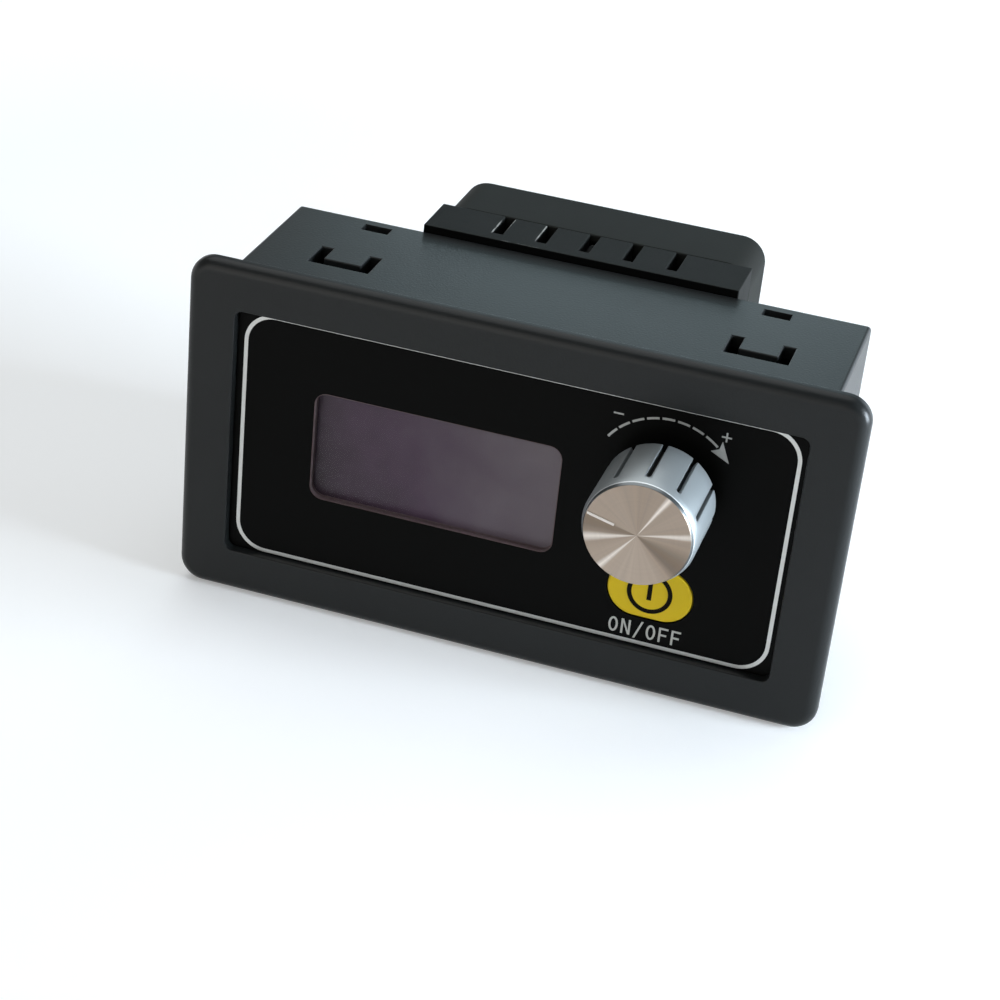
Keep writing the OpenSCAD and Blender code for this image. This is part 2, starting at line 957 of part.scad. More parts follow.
module detent_wheel() {
    bore_w = tenon_w + 2 * running_gap;
    color("#d8d4c8")
        at_knob()
            difference() {
                bar(detent_r, detent_y, detent_y + detent_t);
                block(bore_w, bore_w, detent_y - over, detent_y + detent_t + over);
                around(detents)
                    translate([detent_r, 0, 0])
                        bar(detent_notch_r, detent_y - over, detent_y + detent_t + over);
            }
}

// Grip slot through the knob's cap: open at the base, round at the front
module grip_slot() {
    end_y = knob_front_y + knob_slot_stop + knob_slot_w / 2;
    deep = knob_wall + over;
    translate([knob_r - knob_wall - bond, end_y, 0]) {
        translate([0, 0, -knob_slot_w / 2])
            cube([deep, knob_h + over, knob_slot_w]);
        rotate([0, 90, 0])
            cylinder(h = deep, d = knob_slot_w);
    }
}

module knob_cap() {
    color("#b4aca4")
        at_knob()
            difference() {
                turned()
                    polygon([
                        [0, knob_front_y], [knob_r - knob_bevel, knob_front_y],
                        [knob_r, knob_front_y + knob_bevel_l], [knob_r, knob_base_y],
                        [core_r + bond, knob_base_y], [core_r + bond, core_front_y], [0, core_front_y]
                    ]);
                around(knob_slots, 90)
                    grip_slot();
                rotate([0, -pointer_angle, 0])
                    translate([pointer_inner, knob_front_y - over, -pointer_w / 2])
                        cube([knob_r, over + pointer_depth, pointer_w]);
            }
}

module knob_core() {
    color("#161616")
        at_knob()
            difference() {
                bar(core_r, core_front_y + bond, knob_base_y);
                flatted_bar(shaft_r + bond, socket_stop_y, knob_base_y + over);
            }
}

module switch_body() {
    color("#202020")
        at_key()
            difference() {
                block(switch_w, switch_w, switch_y, control_y);
                bar(plunger_r + slide_gap, switch_y - over, switch_y + plunger_well);
            }
}

module switch_legs() {
    color("#c8c4b0")
        at_switch_legs()
            bar(pin_r, control_y, control_back_y + pin_tail);
}

module switch_plunger() {
    color("#d8d4c8")
        at_key()
            bar(plunger_r, plunger_y, plunger_end_y);
}

module on_off_key() {
    color("#c4ae24")
        at_key() {
            slab(face_y, key_flange_y)
                stadium(key_w, key_h);
            slab(key_flange_y, key_back_y)
                stadium(key_w + 2 * key_flange, key_h + 2 * key_flange);
        }
}

// Places of the link's pins along its row
module at_link_pins() {
    for (i = [0:link_count - 1])
        translate([(i - (link_count - 1) / 2) * link_pitch, 0, link_z])
            children();
}

module link_socket() {
    hole_w = link_pin_w + 2 * fit;
    color("#181818")
        difference() {
            translate([0, 0, link_z])
                block(link_l, link_w, control_back_y, link_header_y);
            at_link_pins()
                block(hole_w, hole_w, link_header_y - link_pin_in - fit, link_header_y + over);
        }
}

module link_header() {
    hole_w = link_pin_w + 2 * bond;
    color("#242424")
        difference() {
            translate([0, 0, link_z])
                block(link_l, link_w, link_header_y, power_y);
            at_link_pins()
                block(hole_w, hole_w, link_header_y - over, power_y + over);
        }
}

module link_pins() {
    color("#c8a850")
        at_link_pins()
            block(link_pin_w, link_pin_w, link_header_y - link_pin_in, power_back_y + link_tail);
}

module power_board() {
    window_gap = 3 * fit;
    cut_w = transistor_w + 2 * window_gap;
    cut_h = transistor_h + 2 * window_gap;
    color("#1c2024")
        difference() {
            union() {
                block(board_w, board_h, power_y, power_back_y);
                for (i = [-1, 1])
                    translate([i * tab_x, 0, 0])
                        block(tab_slot_w - 2 * fit, inner_h + 2 * tab_reach, power_y, power_back_y);
            }
            block(cut_w, cut_h, power_y - over, power_back_y + over);
            at_sink()
                at_corners(post_x, post_z)
                    bar(small_screw_r + fit, power_y - over, power_back_y + over);
            at_link_pins()
                bar(link_pin_w, power_y - over, power_back_y + over);
            at_poles()
                terminal_bar(fit);
        }
}

module transistor_body() {
    color("#1c1c1c")
        translate([0, 0, transistor_low_z + transistor_body_h / 2])
            block(transistor_w, transistor_body_h, frame_back_y - transistor_t, frame_y);
}

module transistor_frame() {
    color("#b8b4ac") {
        difference() {
            block(transistor_w, transistor_h, frame_y, frame_back_y);
            translate([0, 0, transistor_screw_z])
                bar(screw_r + fit, frame_y - over, frame_back_y + over);
        }
        for (i = [-1:1])
            translate([i * lead_pitch, 0, transistor_low_z - lead_l / 2])
                block(lead_w, lead_l, power_y - lead_t, power_y);
    }
}

module transistor_screw() {
    color("#c8c8c4")
        translate([0, 0, transistor_screw_z])
            screw(screw_r, screw_head_r, screw_head_h, frame_y, sink_floor_y - fit - frame_y);
}

module thermal_pad() {
    color("#9aa4ac")
        difference() {
            block(transistor_w + 2 * pad_margin, transistor_h + 2 * pad_margin, frame_back_y, sink_y);
            translate([0, 0, transistor_screw_z])
                bar(screw_r + fit, frame_back_y - over, sink_y + over);
        }
}

module filter_capacitors() {
    color("#2a2e48")
        for (k = [-1, 1])
            translate([can_x, 0, k * can_z])
                difference() {
                    bar(can_r, power_y - can_h, power_y);
                    tube(can_r + over, can_r - crimp_depth, power_y - crimp_y - crimp_w, power_y - crimp_y);
                }
}

module shunt_resistors() {
    color("#303030")
        for (k = [-1, 1])
            translate([shunt_x, 0, k * shunt_z])
                block(shunt_w, shunt_l, power_y - shunt_t, power_y);
}

module heat_sink() {
    color("#26282a")
        difference() {
            at_sink() {
                block(sink_w, sink_h, sink_y, fan_y);
                at_corners(post_x, post_z)
                    bar(post_d / 2, power_back_y, sink_floor_y);
            }
            at_sink() {
                for (i = [0:sink_slots - 1])
                    translate([(i - (sink_slots - 1) / 2) * sink_pitch, 0, 0])
                        block(sink_slot_w, sink_h + 2 * over, sink_floor_y, fan_y + over);
                at_corners(fan_hole, fan_hole)
                    bar(screw_r + bond, fan_y - fan_screw_depth, fan_y + over);
                at_corners(post_x, post_z)
                    bar(small_screw_r + bond, power_back_y - over, sink_floor_y);
                for (i = [0, 1])
                    translate([0, 0, wire_hole_z(i)])
                        bar(wire_hole_r, sink_y - over, sink_floor_y + over);
            }
            translate([0, 0, transistor_screw_z])
                bar(screw_r + bond, sink_y - over, sink_floor_y);
        }
}

module heat_sink_screws() {
    color("#c8c8c4")
        at_sink()
            at_corners(post_x, post_z)
                screw(small_screw_r, small_head_r, small_head_h, power_y, sink_floor_y - fit - power_y);
}

// Places of the two load terminals
module at_pole(k) {
    translate([0, 0, terminal_z + k * terminal_pitch / 2])
        children();
}

module at_poles() {
    for (k = [-1, 1])
        at_pole(k)
            children();
}

// Contact bar of a load terminal with its solder pin, grown by a gap on every side
module terminal_bar(gap) {
    x0 = cage_x - cage_d / 2 - bar_end;
    w = bar_w + 2 * gap;
    translate([x0 - gap, bar_y - gap, -w / 2])
        cube([bar_pin_x - x0 + 2 * gap, bar_t + 2 * gap, w]);
    translate([bar_pin_x - bar_pin_t - gap, power_y - pin_tail - gap, -w / 2])
        cube([bar_pin_t + 2 * gap, bar_back_y - power_y + pin_tail + 2 * gap, w]);
}

module terminal_block() {
    lip_y = power_back_y + terminal_lip_h;
    top_y = power_back_y + terminal_h;
    step_y = power_back_y + terminal_step_h;
    shaft_w = cage_w + 2 * slide_gap;
    shaft_d = cage_d + 2 * slide_gap;
    color("#2d6b3c")
        difference() {
            translate([0, 0, terminal_z - terminal_l / 2])
                linear_extrude(terminal_l)
                    polygon([
                        [terminal_x, power_back_y], [terminal_x, lip_y],
                        [terminal_x + terminal_lip_in, top_y], [terminal_back_x - terminal_step_in, top_y],
                        [terminal_back_x, step_y], [terminal_back_x, power_back_y]
                    ]);
            at_poles() {
                translate([cage_x - shaft_d / 2, cage_y, -shaft_w / 2])
                    cube([shaft_d, clamp_shelf_y - cage_y, shaft_w]);
                translate([terminal_x - over, cage_y + cage_wall, -entry_w / 2])
                    cube([cage_x - terminal_x + over, bar_y - cage_y - cage_wall, entry_w]);
                translate([cage_x, 0, 0]) {
                    bar(clamp_screw_r + slide_gap, clamp_shelf_y - over, top_y);
                    bar(clamp_head_r + slide_gap, clamp_head_y - bond, top_y + over);
                }
                terminal_bar(bond);
            }
        }
}

module terminal_bars() {
    color("#c8c0a0")
        at_poles()
            terminal_bar(0);
}

// Rising cage that lifts the wire against the contact bar
module clamp_cage() {
    inside_w = cage_w - 2 * cage_wall;
    inside_h = cage_h - 2 * cage_wall;
    color("#c0b890")
        difference() {
            translate([cage_x - cage_d / 2, cage_y, -cage_w / 2])
                cube([cage_d, cage_h, cage_w]);
            translate([cage_x - cage_d / 2 - over, cage_y + cage_wall, -inside_w / 2])
                cube([cage_d + 2 * over, inside_h, inside_w]);
            translate([cage_x, 0, 0])
                bar(clamp_screw_r + running_gap, cage_top_y - cage_wall - over, cage_top_y + over);
        }
}

module clamp_cage_upper() {
    at_pole(1) clamp_cage();
}

module clamp_cage_lower() {
    at_pole(-1) clamp_cage();
}

// Slotted screw that turns in the block and drives a cage
module clamp_screw() {
    slot_w = 0.6;
    slot_deep = 0.9;
    head_back_y = clamp_head_y + clamp_head_h;
    color("#c8c8c4")
        translate([cage_x, 0, 0])
            difference() {
                union() {
                    bar(clamp_screw_r, bar_back_y + slide_gap, clamp_head_y + bond);
                    bar(clamp_head_r, clamp_head_y, head_back_y);
                }
                block(slot_w, 2 * clamp_head_r + over, head_back_y - slot_deep, head_back_y + over);
            }
}

module clamp_screw_upper() {
    at_pole(1) clamp_screw();
}

module clamp_screw_lower() {
    at_pole(-1) clamp_screw();
}

// Round bar along the supply jack's axis, from one depth below its mouth to another
module jack_bar(r, d0, d1) {
    translate([jack_x, jack_axis_y, jack_mouth_z + d0])
        cylinder(h = d1 - d0, r = r);
}

// Groove under the supply jack's socket for the spring contact, grown by a gap
module jack_spring_shape(gap, top_y) {
    low_y = jack_axis_y - jack_bore_r - spring_drop;
    translate([jack_x - spring_w / 2 - gap, low_y - gap, jack_mouth_z + spring_inset - gap])
        cube([spring_w + 2 * gap, top_y - low_y + gap, spring_l + 2 * gap]);
}

module supply_jack() {
    color("#1a1a1c")
        difference() {
            union() {
                translate([jack_x - jack_w / 2, power_back_y, jack_mouth_z])
                    cube([jack_w, jack_h, jack_flange_l]);
                translate([jack_x - jack_barrel_r, power_back_y, jack_mouth_z])
                    cube([2 * jack_barrel_r, jack_axis_y - power_back_y, jack_l]);
                jack_bar(jack_barrel_r, 0, jack_l);
            }
            jack_bar(jack_bore_r, -over, jack_socket_l);
            jack_bar(jack_root_r + bond, jack_socket_l - over, jack_socket_l + jack_pin_root);
            jack_spring_shape(bond, jack_axis_y);
        }
}

module supply_pin() {
    color("#c8c0a0") {
        jack_bar(jack_pin_r, jack_socket_l - jack_pin_l, jack_socket_l);
        jack_bar(jack_root_r, jack_socket_l, jack_socket_l + jack_pin_root);
    }
}

module supply_spring() {
    color("#c8c0a0")
        jack_spring_shape(0, jack_axis_y - jack_bore_r - spring_drop + spring_t);
}

module fan_frame() {
    color("#2c2e2f")
        at_sink() {
            difference() {
                slab(fan_y, fan_back_y)
                    rounded_rect(fan_w, fan_w, fan_corner_r);
                bar(fan_bore_r, fan_y - over, fan_back_y + over);
                at_corners(fan_hole, fan_hole)
                    bar(fan_hole_d / 2, fan_y - over, fan_back_y + over);
            }
            bar(hub_r, motor_y, motor_back_y);
            around(struts, 45)
                translate([hub_r - over, motor_y, -strut_w / 2])
                    cube([fan_bore_r + over - hub_r + fan_wall / 2, motor_back_y - motor_y, strut_w]);
            tube(tube_r, tube_bore_r, motor_back_y, tube_back_y);
        }
}

module fan_sleeve() {
    color("#b09050")
        at_sink()
            tube(sleeve_r, fan_shaft_r + running_gap, motor_back_y, tube_back_y);
}

// Bar of a stator pole, grown by a gap, from one radius to another
module pole_bar(gap, r0, r1) {
    translate([r0, stator_y - gap, -pole_w / 2 - gap])
        cube([r1 - r0, stator_t + 2 * gap, pole_w + 2 * gap]);
}

module fan_stator() {
    reach = stator_r + over;
    half = reach * tan(pole_half_angle);
    color("#8c9094")
        at_sink() {
            tube(stator_ring_r, tube_r + bond, stator_y, stator_y + stator_t);
            around(poles)
                pole_bar(0, stator_ring_r - fit, stator_r - pole_t / 2);
            around(poles)
                intersection() {
                    tube(stator_r, stator_r - pole_t, stator_y, stator_y + stator_t);
                    slab(stator_y, stator_y + stator_t)
                        polygon([[0, 0], [reach, -half], [reach, half]]);
                }
        }
}

module fan_coils() {
    coil_in = stator_ring_r + fit;
    coil_half = pole_w / 2 + coil_t;
    coil_out = sqrt(pow(stator_r - pole_t - fit, 2) - pow(coil_half, 2));
    color("#a8602c")
        at_sink()
            around(poles)
                difference() {
                    pole_bar(coil_t, coil_in, coil_out);
                    pole_bar(bond, coil_in - over, coil_out + over);
                }
}

// Point on a blade: u from its front edge to its rear edge, v from the hub to the tip, side -1 or 1
function blade_point(u, v, side) =
    let (
        r = blade_root_r + v * (blade_tip_r - blade_root_r),
        lean = blade_lean * v,
        half = blade_t * (0.3 + 2.8 * u * (1 - u)) / 2,
        a = blade_twist * (u - 0.5) + lean + side * half / r * 180 / PI
    )
    [r * cos(a), blade_y + u * (blade_back_y - blade_y), r * sin(a)];

// Section of a blade at one radius, up one side and down the other
function blade_ring(v) = concat(
    [for (i = [0:blade_steps]) blade_point(i / blade_steps, v, 1)],
    [for (i = [blade_steps:-1:0]) blade_point(i / blade_steps, v, -1)]
);

module fan_hub() {
    color("#2c2e2f")
        at_sink() {
            turned()
                polygon([
                    [0, hub_back_y], [hub_r - hub_edge, hub_back_y],
                    [hub_r, hub_back_y - hub_edge], [hub_r, hub_y], [hub_r - hub_wall, hub_y],
                    [hub_r - hub_wall, hub_floor_y], [boss_r, hub_floor_y],
                    [boss_r, boss_y], [fan_shaft_r + bond, boss_y],
                    [fan_shaft_r + bond, hub_back_y - hub_edge], [0, hub_back_y - hub_edge]
                ]);
            around(blades)
                skin([for (v = [0, 0.5, 1]) blade_ring(v)]);
        }
}

module fan_magnet() {
    color("#3a3634")
        at_sink()
            tube(magnet_r, magnet_bore_r, hub_y + fit, hub_floor_y);
}

module fan_shaft() {
    color("#d0d0cc")
        at_sink()
            bar(fan_shaft_r, motor_back_y + fit, hub_back_y - hub_edge);
}

// Depth at which a wire runs down the air slot, and the height of its hole in the base
function wire_down_y(i) = fan_y - wire_drop - i * wire_spacing;
function wire_hole_z(i) = wire_turn_z - wire_turn_r - (1 - i) * wire_spacing;

// Route of a wire in X, Y and Z: out from the motor, over a half circle, down, and round into its hole
function wire_route(i) =
    let (
        side = (i == 0 ? -1 : 1) * wire_apart,
        over_r = (wire_start_y - wire_down_y(i)) / 2,
        over_y = wire_down_y(i) + over_r,
        over_z = wire_arc_z - (1 - i) * wire_arc_step,
        turn_r = wire_turn_r + (1 - i) * wire_spacing,
        turn_y = wire_down_y(i) - turn_r
    )
    concat(
        [[side, wire_start_y, hub_r]],
        [for (a = [0:30:180])
            [side * max(0, 1 - a / wire_meet_angle), over_y + over_r * cos(a), over_z + over_r * sin(a)]],
        [for (a = [0:30:90])
            [0, turn_y + turn_r * cos(a), wire_turn_z - turn_r * sin(a)]],
        [[0, power_back_y + bond, wire_hole_z(i)]]
    );

// Direction of a route at its point k
function route_way(p, k) =
    let (d = p[min(k + 1, len(p) - 1)] - p[max(k - 1, 0)])
    d / norm(d);

// Ring of points round a route's point k, square to the route, which stays near the plane of Y and Z
function wire_ring(p, k) =
    let (
        w = route_way(p, k),
        side = cross([1, 0, 0], w) / norm(cross([1, 0, 0], w)),
        out = cross(w, side)
    )
    [for (s = [0:wire_sides - 1])
        p[k] + wire_r * (cos(s * 360 / wire_sides) * out + sin(s * 360 / wire_sides) * side)];

module fan_wire(i) {
    route = wire_route(i);
    skin([for (k = [0:len(route) - 1]) wire_ring(route, k)]);
}

module fan_wire_red() {
    color("#8c2018") at_sink() fan_wire(0);
}

module fan_wire_black() {
    color("#141414") at_sink() fan_wire(1);
}

module fan_screws() {
    color("#3a3a3a")
        at_sink()
            at_corners(fan_hole, fan_hole)
                mirror([0, 1, 0])
                    screw(screw_r, screw_head_r, screw_head_h, -fan_back_y, fan_d + fan_screw_depth - fit);
}

case_shell();
faceplate();
window_lens();
display_glass();
display_tray();
control_board();
controller_chip();
encoder_cup();
encoder_bush();
encoder_pins();
push_contact();
push_plate();
encoder_shaft();
detent_wheel();
knob_cap();
knob_core();
switch_body();
switch_legs();
switch_plunger();
on_off_key();
link_socket();
link_header();
link_pins();
power_board();
transistor_body();
transistor_frame();
transistor_screw();
thermal_pad();
filter_capacitors();
shunt_resistors();
heat_sink();
heat_sink_screws();
terminal_block();
terminal_bars();
clamp_cage_upper();
clamp_cage_lower();
clamp_screw_upper();
clamp_screw_lower();
supply_jack();
supply_pin();
supply_spring();
fan_frame();
fan_sleeve();
fan_stator();
fan_coils();
fan_hub();
fan_magnet();
fan_shaft();
fan_wire_red();
fan_wire_black();
fan_screws();
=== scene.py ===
import bpy
import bmesh
import json
import math
import numpy as np
from mathutils import Matrix, Vector


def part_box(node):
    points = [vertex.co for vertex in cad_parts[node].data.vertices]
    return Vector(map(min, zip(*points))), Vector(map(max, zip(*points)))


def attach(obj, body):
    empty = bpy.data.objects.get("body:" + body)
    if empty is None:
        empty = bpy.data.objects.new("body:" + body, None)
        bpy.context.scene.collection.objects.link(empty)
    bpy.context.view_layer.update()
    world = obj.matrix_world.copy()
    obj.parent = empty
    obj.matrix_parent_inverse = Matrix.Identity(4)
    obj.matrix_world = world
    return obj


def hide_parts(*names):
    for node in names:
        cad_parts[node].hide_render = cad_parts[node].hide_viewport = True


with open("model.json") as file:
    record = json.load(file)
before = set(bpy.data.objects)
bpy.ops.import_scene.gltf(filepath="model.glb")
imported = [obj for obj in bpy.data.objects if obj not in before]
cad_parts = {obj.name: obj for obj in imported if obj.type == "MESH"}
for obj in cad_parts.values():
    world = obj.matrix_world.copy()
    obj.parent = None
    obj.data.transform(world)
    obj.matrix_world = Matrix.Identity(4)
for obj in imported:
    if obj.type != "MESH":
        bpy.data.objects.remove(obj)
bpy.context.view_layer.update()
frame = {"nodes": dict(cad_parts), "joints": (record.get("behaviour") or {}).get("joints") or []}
nodes = frame["nodes"]
joints = {j["name"]: j for j in frame["joints"]}
mm = 0.001
print("frame loaded with", len(nodes), "nodes")


# Shader maths: a wrapped socket takes + - * / and adds the Math nodes itself

class Sock:
    def __init__(self, tree, link=None):
        self.tree = tree
        self.link = link

    def node(self, kind, settings=None, inputs=None, out=0):
        made = self.tree.nodes.new(kind)
        for key, value in (settings or {}).items():
            if key == "stops":  # colour ramp: list of (place, colour)
                made.color_ramp.elements[0].position, made.color_ramp.elements[0].color = value[0]
                made.color_ramp.elements[1].position, made.color_ramp.elements[1].color = value[-1]
                for place, colour in value[1:-1]:
                    made.color_ramp.elements.new(place).color = colour
            else:
                setattr(made, key, value)
        for key, value in (inputs or {}).items():
            if isinstance(value, Sock):
                self.tree.links.new(value.link, made.inputs[key])
            else:
                made.inputs[key].default_value = value
        return Sock(self.tree, made.outputs[out] if made.outputs else None)

    def math(self, operation, a, b=0.0, clamp=False):
        return self.node("ShaderNodeMath", {"operation": operation, "use_clamp": clamp}, {0: a, 1: b})

    def __add__(self, other): return self.math("ADD", self, other)
    def __radd__(self, other): return self.math("ADD", other, self)
    def __sub__(self, other): return self.math("SUBTRACT", self, other)
    def __rsub__(self, other): return self.math("SUBTRACT", other, self)
    def __mul__(self, other): return self.math("MULTIPLY", self, other)
    def __rmul__(self, other): return self.math("MULTIPLY", other, self)
    def __truediv__(self, other): return self.math("DIVIDE", self, other)
    def __gt__(self, other): return self.math("GREATER_THAN", self, other)
    def __lt__(self, other): return self.math("LESS_THAN", self, other)


def ink(r, g, b):
    # 0-255 screen colour to the linear colour that a socket takes
    c = np.array([r, g, b]) / 255
    lin = np.where(c <= 0.04045, c / 12.92, ((c + 0.055) / 1.055) ** 2.4)
    return (*lin.tolist(), 1.0)


def newFinish(name):
    mat = bpy.data.materials.new(name)
    mat.use_nodes = True
    mat.node_tree.nodes.clear()
    return mat, Sock(mat.node_tree)


def place(root, scale=(1, 1, 1), shift=(0, 0, 0)):
    where = root.node("ShaderNodeTexCoord", out="Object")
    return root.node("ShaderNodeMapping", {}, {"Vector": where, "Location": shift, "Scale": scale})


def axes(root, shift=(0, 0, 0)):
    # the three object coordinates in metres
    split = root.node("ShaderNodeSeparateXYZ", {}, {"Vector": place(root, shift=shift)})
    return [Sock(root.tree, out) for out in split.link.node.outputs]


def noiseAlong(root, value, scale, detail):
    # one-dimensional noise that changes only with value
    return root.node("ShaderNodeTexNoise", {"noise_dimensions": "1D"}, {
        "W": value, "Scale": scale, "Detail": detail})


def grain(root, size, detail=3.0, stretch=(1, 1, 1)):
    # noise whose blobs are about size mm across
    return root.node("ShaderNodeTexNoise", {}, {
        "Vector": place(root, stretch), "Scale": 1 / (size * mm), "Detail": detail, "Roughness": 0.55})


def mixed(root, share, a, b):
    return root.node("ShaderNodeMix", {"data_type": "RGBA"}, {0: share, 6: a, 7: b}, 2)


def bumped(root, height, depth):
    return root.node("ShaderNodeBump", {}, {"Strength": 1.0, "Distance": depth * mm, "Height": height})


def painted(mat, root, inputs):
    shader = root.node("ShaderNodeBsdfPrincipled", {}, inputs)
    root.node("ShaderNodeOutputMaterial", {}, {"Surface": shader})
    return mat


def darker(colour, share):
    return (*(np.array(colour[:3]) * share).tolist(), 1.0)


def seenDirectly(root):
    # 1 where the camera looks, also by way of metal or glass, and 0 for light that bounces about
    rays = root.node("ShaderNodeLightPath", out="Is Camera Ray")
    seen = rays
    for kind in ("Is Glossy Ray", "Is Transmission Ray"):
        seen = root.math("MAXIMUM", seen, Sock(root.tree, rays.link.node.outputs[kind]))
    return seen


# Finishes: one short function for each kind of surface

def mouldedFinish(name, colour, rough=0.5, grainSize=0.25, depth=0.012, tone=0.8, spec=0.5):
    # moulded plastic: spark-eroded grain, slow tone drift and faint handling marks
    mat, root = newFinish(name)
    drift = grain(root, 14, 4)
    fine = grain(root, grainSize, 2)
    marks = grain(root, 1.6, 6, (1, 1, 5))
    scuff = root.math("MULTIPLY", marks - 0.62, 3.0, True)
    shade = mixed(root, drift, darker(colour, tone), darker(colour, 2 - tone))
    shade = mixed(root, scuff * 0.25, shade, darker(colour, 1.5))
    return painted(mat, root, {
        "Base Color": shade,
        "Roughness": rough - 0.06 + 0.12 * drift + 0.1 * scuff,
        "Specular IOR Level": spec,
        "Normal": bumped(root, fine, depth)})


def printedFinish(name, colour, rough=0.45, metal=0.0, speck=0.35, spec=0.5):
    # screen-printed ink: slight pinholes and an uneven coat
    mat, root = newFinish(name)
    coat = grain(root, 0.5, 4)
    pin = grain(root, 0.12, 2)
    return painted(mat, root, {
        "Base Color": mixed(root, coat * speck, colour, darker(colour, 0.62)),
        "Metallic": metal,
        "Specular IOR Level": spec,
        "Roughness": rough + 0.15 * (coat - 0.5),
        "Normal": bumped(root, pin, 0.004)})


def metalFinish(name, colour, rough=0.3, size=0.3, stretch=(1, 1, 1), depth=0.004, drift=0.12, metal=1.0):
    # bare or plated metal: fine tool lines along one way and a cloudy tarnish
    mat, root = newFinish(name)
    lines = grain(root, size, 3, stretch)
    cloud = grain(root, 4, 4)
    return painted(mat, root, {
        "Base Color": mixed(root, cloud, darker(colour, 1 - drift), darker(colour, 1 + drift)),
        "Metallic": metal,
        "Roughness": rough - 0.08 + 0.16 * lines,
        "Normal": bumped(root, lines, depth)})


def spunFinish(name, colour):
    # spun aluminium: rings round the knob's axis, and painted reflections: light and dark sectors, bright
    # rays and streaks round the face
    mat, root = newFinish(name)
    across, _, up = axes(root, [-float(v) for v in joints["knob_turn"]["pos_m"]])
    radius = root.math("SQRT", across * across + up * up)
    angle = root.math("ARCTAN2", up, across)
    fine, coarse = (noiseAlong(root, radius, 1 / (size * mm), 2.0) for size in (0.06, 0.3))
    rings = 0.6 * fine + 0.4 * coarse
    turn = angle / (2 * math.pi) + 0.5 + 0.006 * (grain(root, 3, 3) - 0.5)
    # painted reflection streaks that change with the angle round the face
    reflectionStreaks = noiseAlong(root, turn, 34.0, 4.0)
    # angle in degrees and brightness of the painted reflection sectors, then angle and half width of the
    # painted bright rays
    paintedSectors = [(-180, 0.21), (-172, 0.29), (-148, 0.37), (-102, 0.42), (-60, 0.4),
            (-47, 0.34), (-37, 0.18), (-20, 0.21), (-4, 0.32), (36, 0.37),
            (88, 0.32), (130, 0.37), (163, 0.36), (169, 0.21), (180, 0.21)]
    rays, paintedRayLight = [(-165, 7), (-128, 5), (12, 4.5), (60, 4.5)], 0.85
    stops = paintedSectors + [(a, paintedRayLight) for a, _ in rays]
    stops += [(a + k * w, float(np.interp(a + k * w, *zip(*paintedSectors)))) for a, w in rays for k in (-1, 1)]

    def reflectionTint(share):  # painted reflection colour, warmer where it is darker
        return (share, share * (0.7 + 0.24 * share), share * (0.47 + 0.4 * share), 1.0)

    # painted reflections: light and dark sectors and bright rays by angle round the face
    paintedReflection = root.node("ShaderNodeValToRGB", {"stops": [
        (degrees / 360 + 0.5, reflectionTint(share)) for degrees, share in sorted(stops)]}, {"Fac": turn})
    return painted(mat, root, {
        "Base Color": mixed(root, 0.2 * rings + 0.5 * (reflectionStreaks - 0.3), paintedReflection, darker(colour, 0.3)),
        "Metallic": 1.0,
        "Roughness": 0.24 + 0.16 * rings,
        "Normal": bumped(root, rings, 0.004)})


knobBevel = 0.5  # width of the knob's front bevel, mm


def turnedFinish(name, colour):
    # turned side of the knob: fine rings along its axis, and a cut bevel with painted shade and a painted
    # highlight along its edge next to the side
    mat, root = newFinish(name)
    bevel = knobBevel * mm
    highlightHalf = 0.07 * mm
    deep = axes(root)[1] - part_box("knob_cap")[0].y
    lines = noiseAlong(root, deep, 1 / (0.09 * mm), 3.0)
    cut = deep < bevel - 0.06 * mm
    # painted highlight along the bevel's edge
    edge = root.node("ShaderNodeMath", {"operation": "COMPARE"}, {0: deep, 1: bevel, 2: highlightHalf})
    side = mixed(root, lines, darker(colour, 0.86), darker(colour, 1.14))
    # painted shade on the cut bevel band
    shade = mixed(root, cut, side, darker(colour, 0.5))
    return painted(mat, root, {
        "Base Color": mixed(root, edge, shade, ink(222, 226, 227)),
        "Metallic": 0.6 + 0.25 * cut,
        "Roughness": 0.36 + 0.1 * lines - 0.12 * cut,
        "Normal": bumped(root, lines, 0.003)})


lensRim = {"flange": 1.4, "corner": 1.6, "fade": 0.1}  # edge of the window, mm


def lensFinish(name):
    # clear acrylic window: see-through and faintly smoky, with dust specks and edges that catch the light
    mat, root = newFinish(name)
    dust = root.math("MULTIPLY", grain(root, 0.2, 3) - 0.68, 4.0, True)
    low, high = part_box("window_lens")
    flange, corner, fade = (lensRim[k] * mm for k in ("flange", "corner", "fade"))
    where = axes(root)
    # distance past the inner box of the rounded rectangle, along each side and round the corner
    outX, outZ = (root.math("MAXIMUM", root.math("ABSOLUTE", where[i] - (low[i] + high[i]) / 2)
                            - ((high[i] - low[i]) / 2 - flange - corner)) for i in (0, 2))
    rim = root.math("SQRT", outX * outX + outZ * outZ) > corner - fade
    clear = mixed(root, dust, ink(40, 36, 42), ink(150, 148, 150))
    return painted(mat, root, {
        "Base Color": mixed(root, rim, clear, ink(126, 108, 110)),
        "Specular IOR Level": 0.25,
        "Roughness": 0.08 + 0.3 * dust + 0.3 * rim,
        "Alpha": root.math("MAXIMUM", 0.08 + 0.3 * dust, 0.9 * rim)})


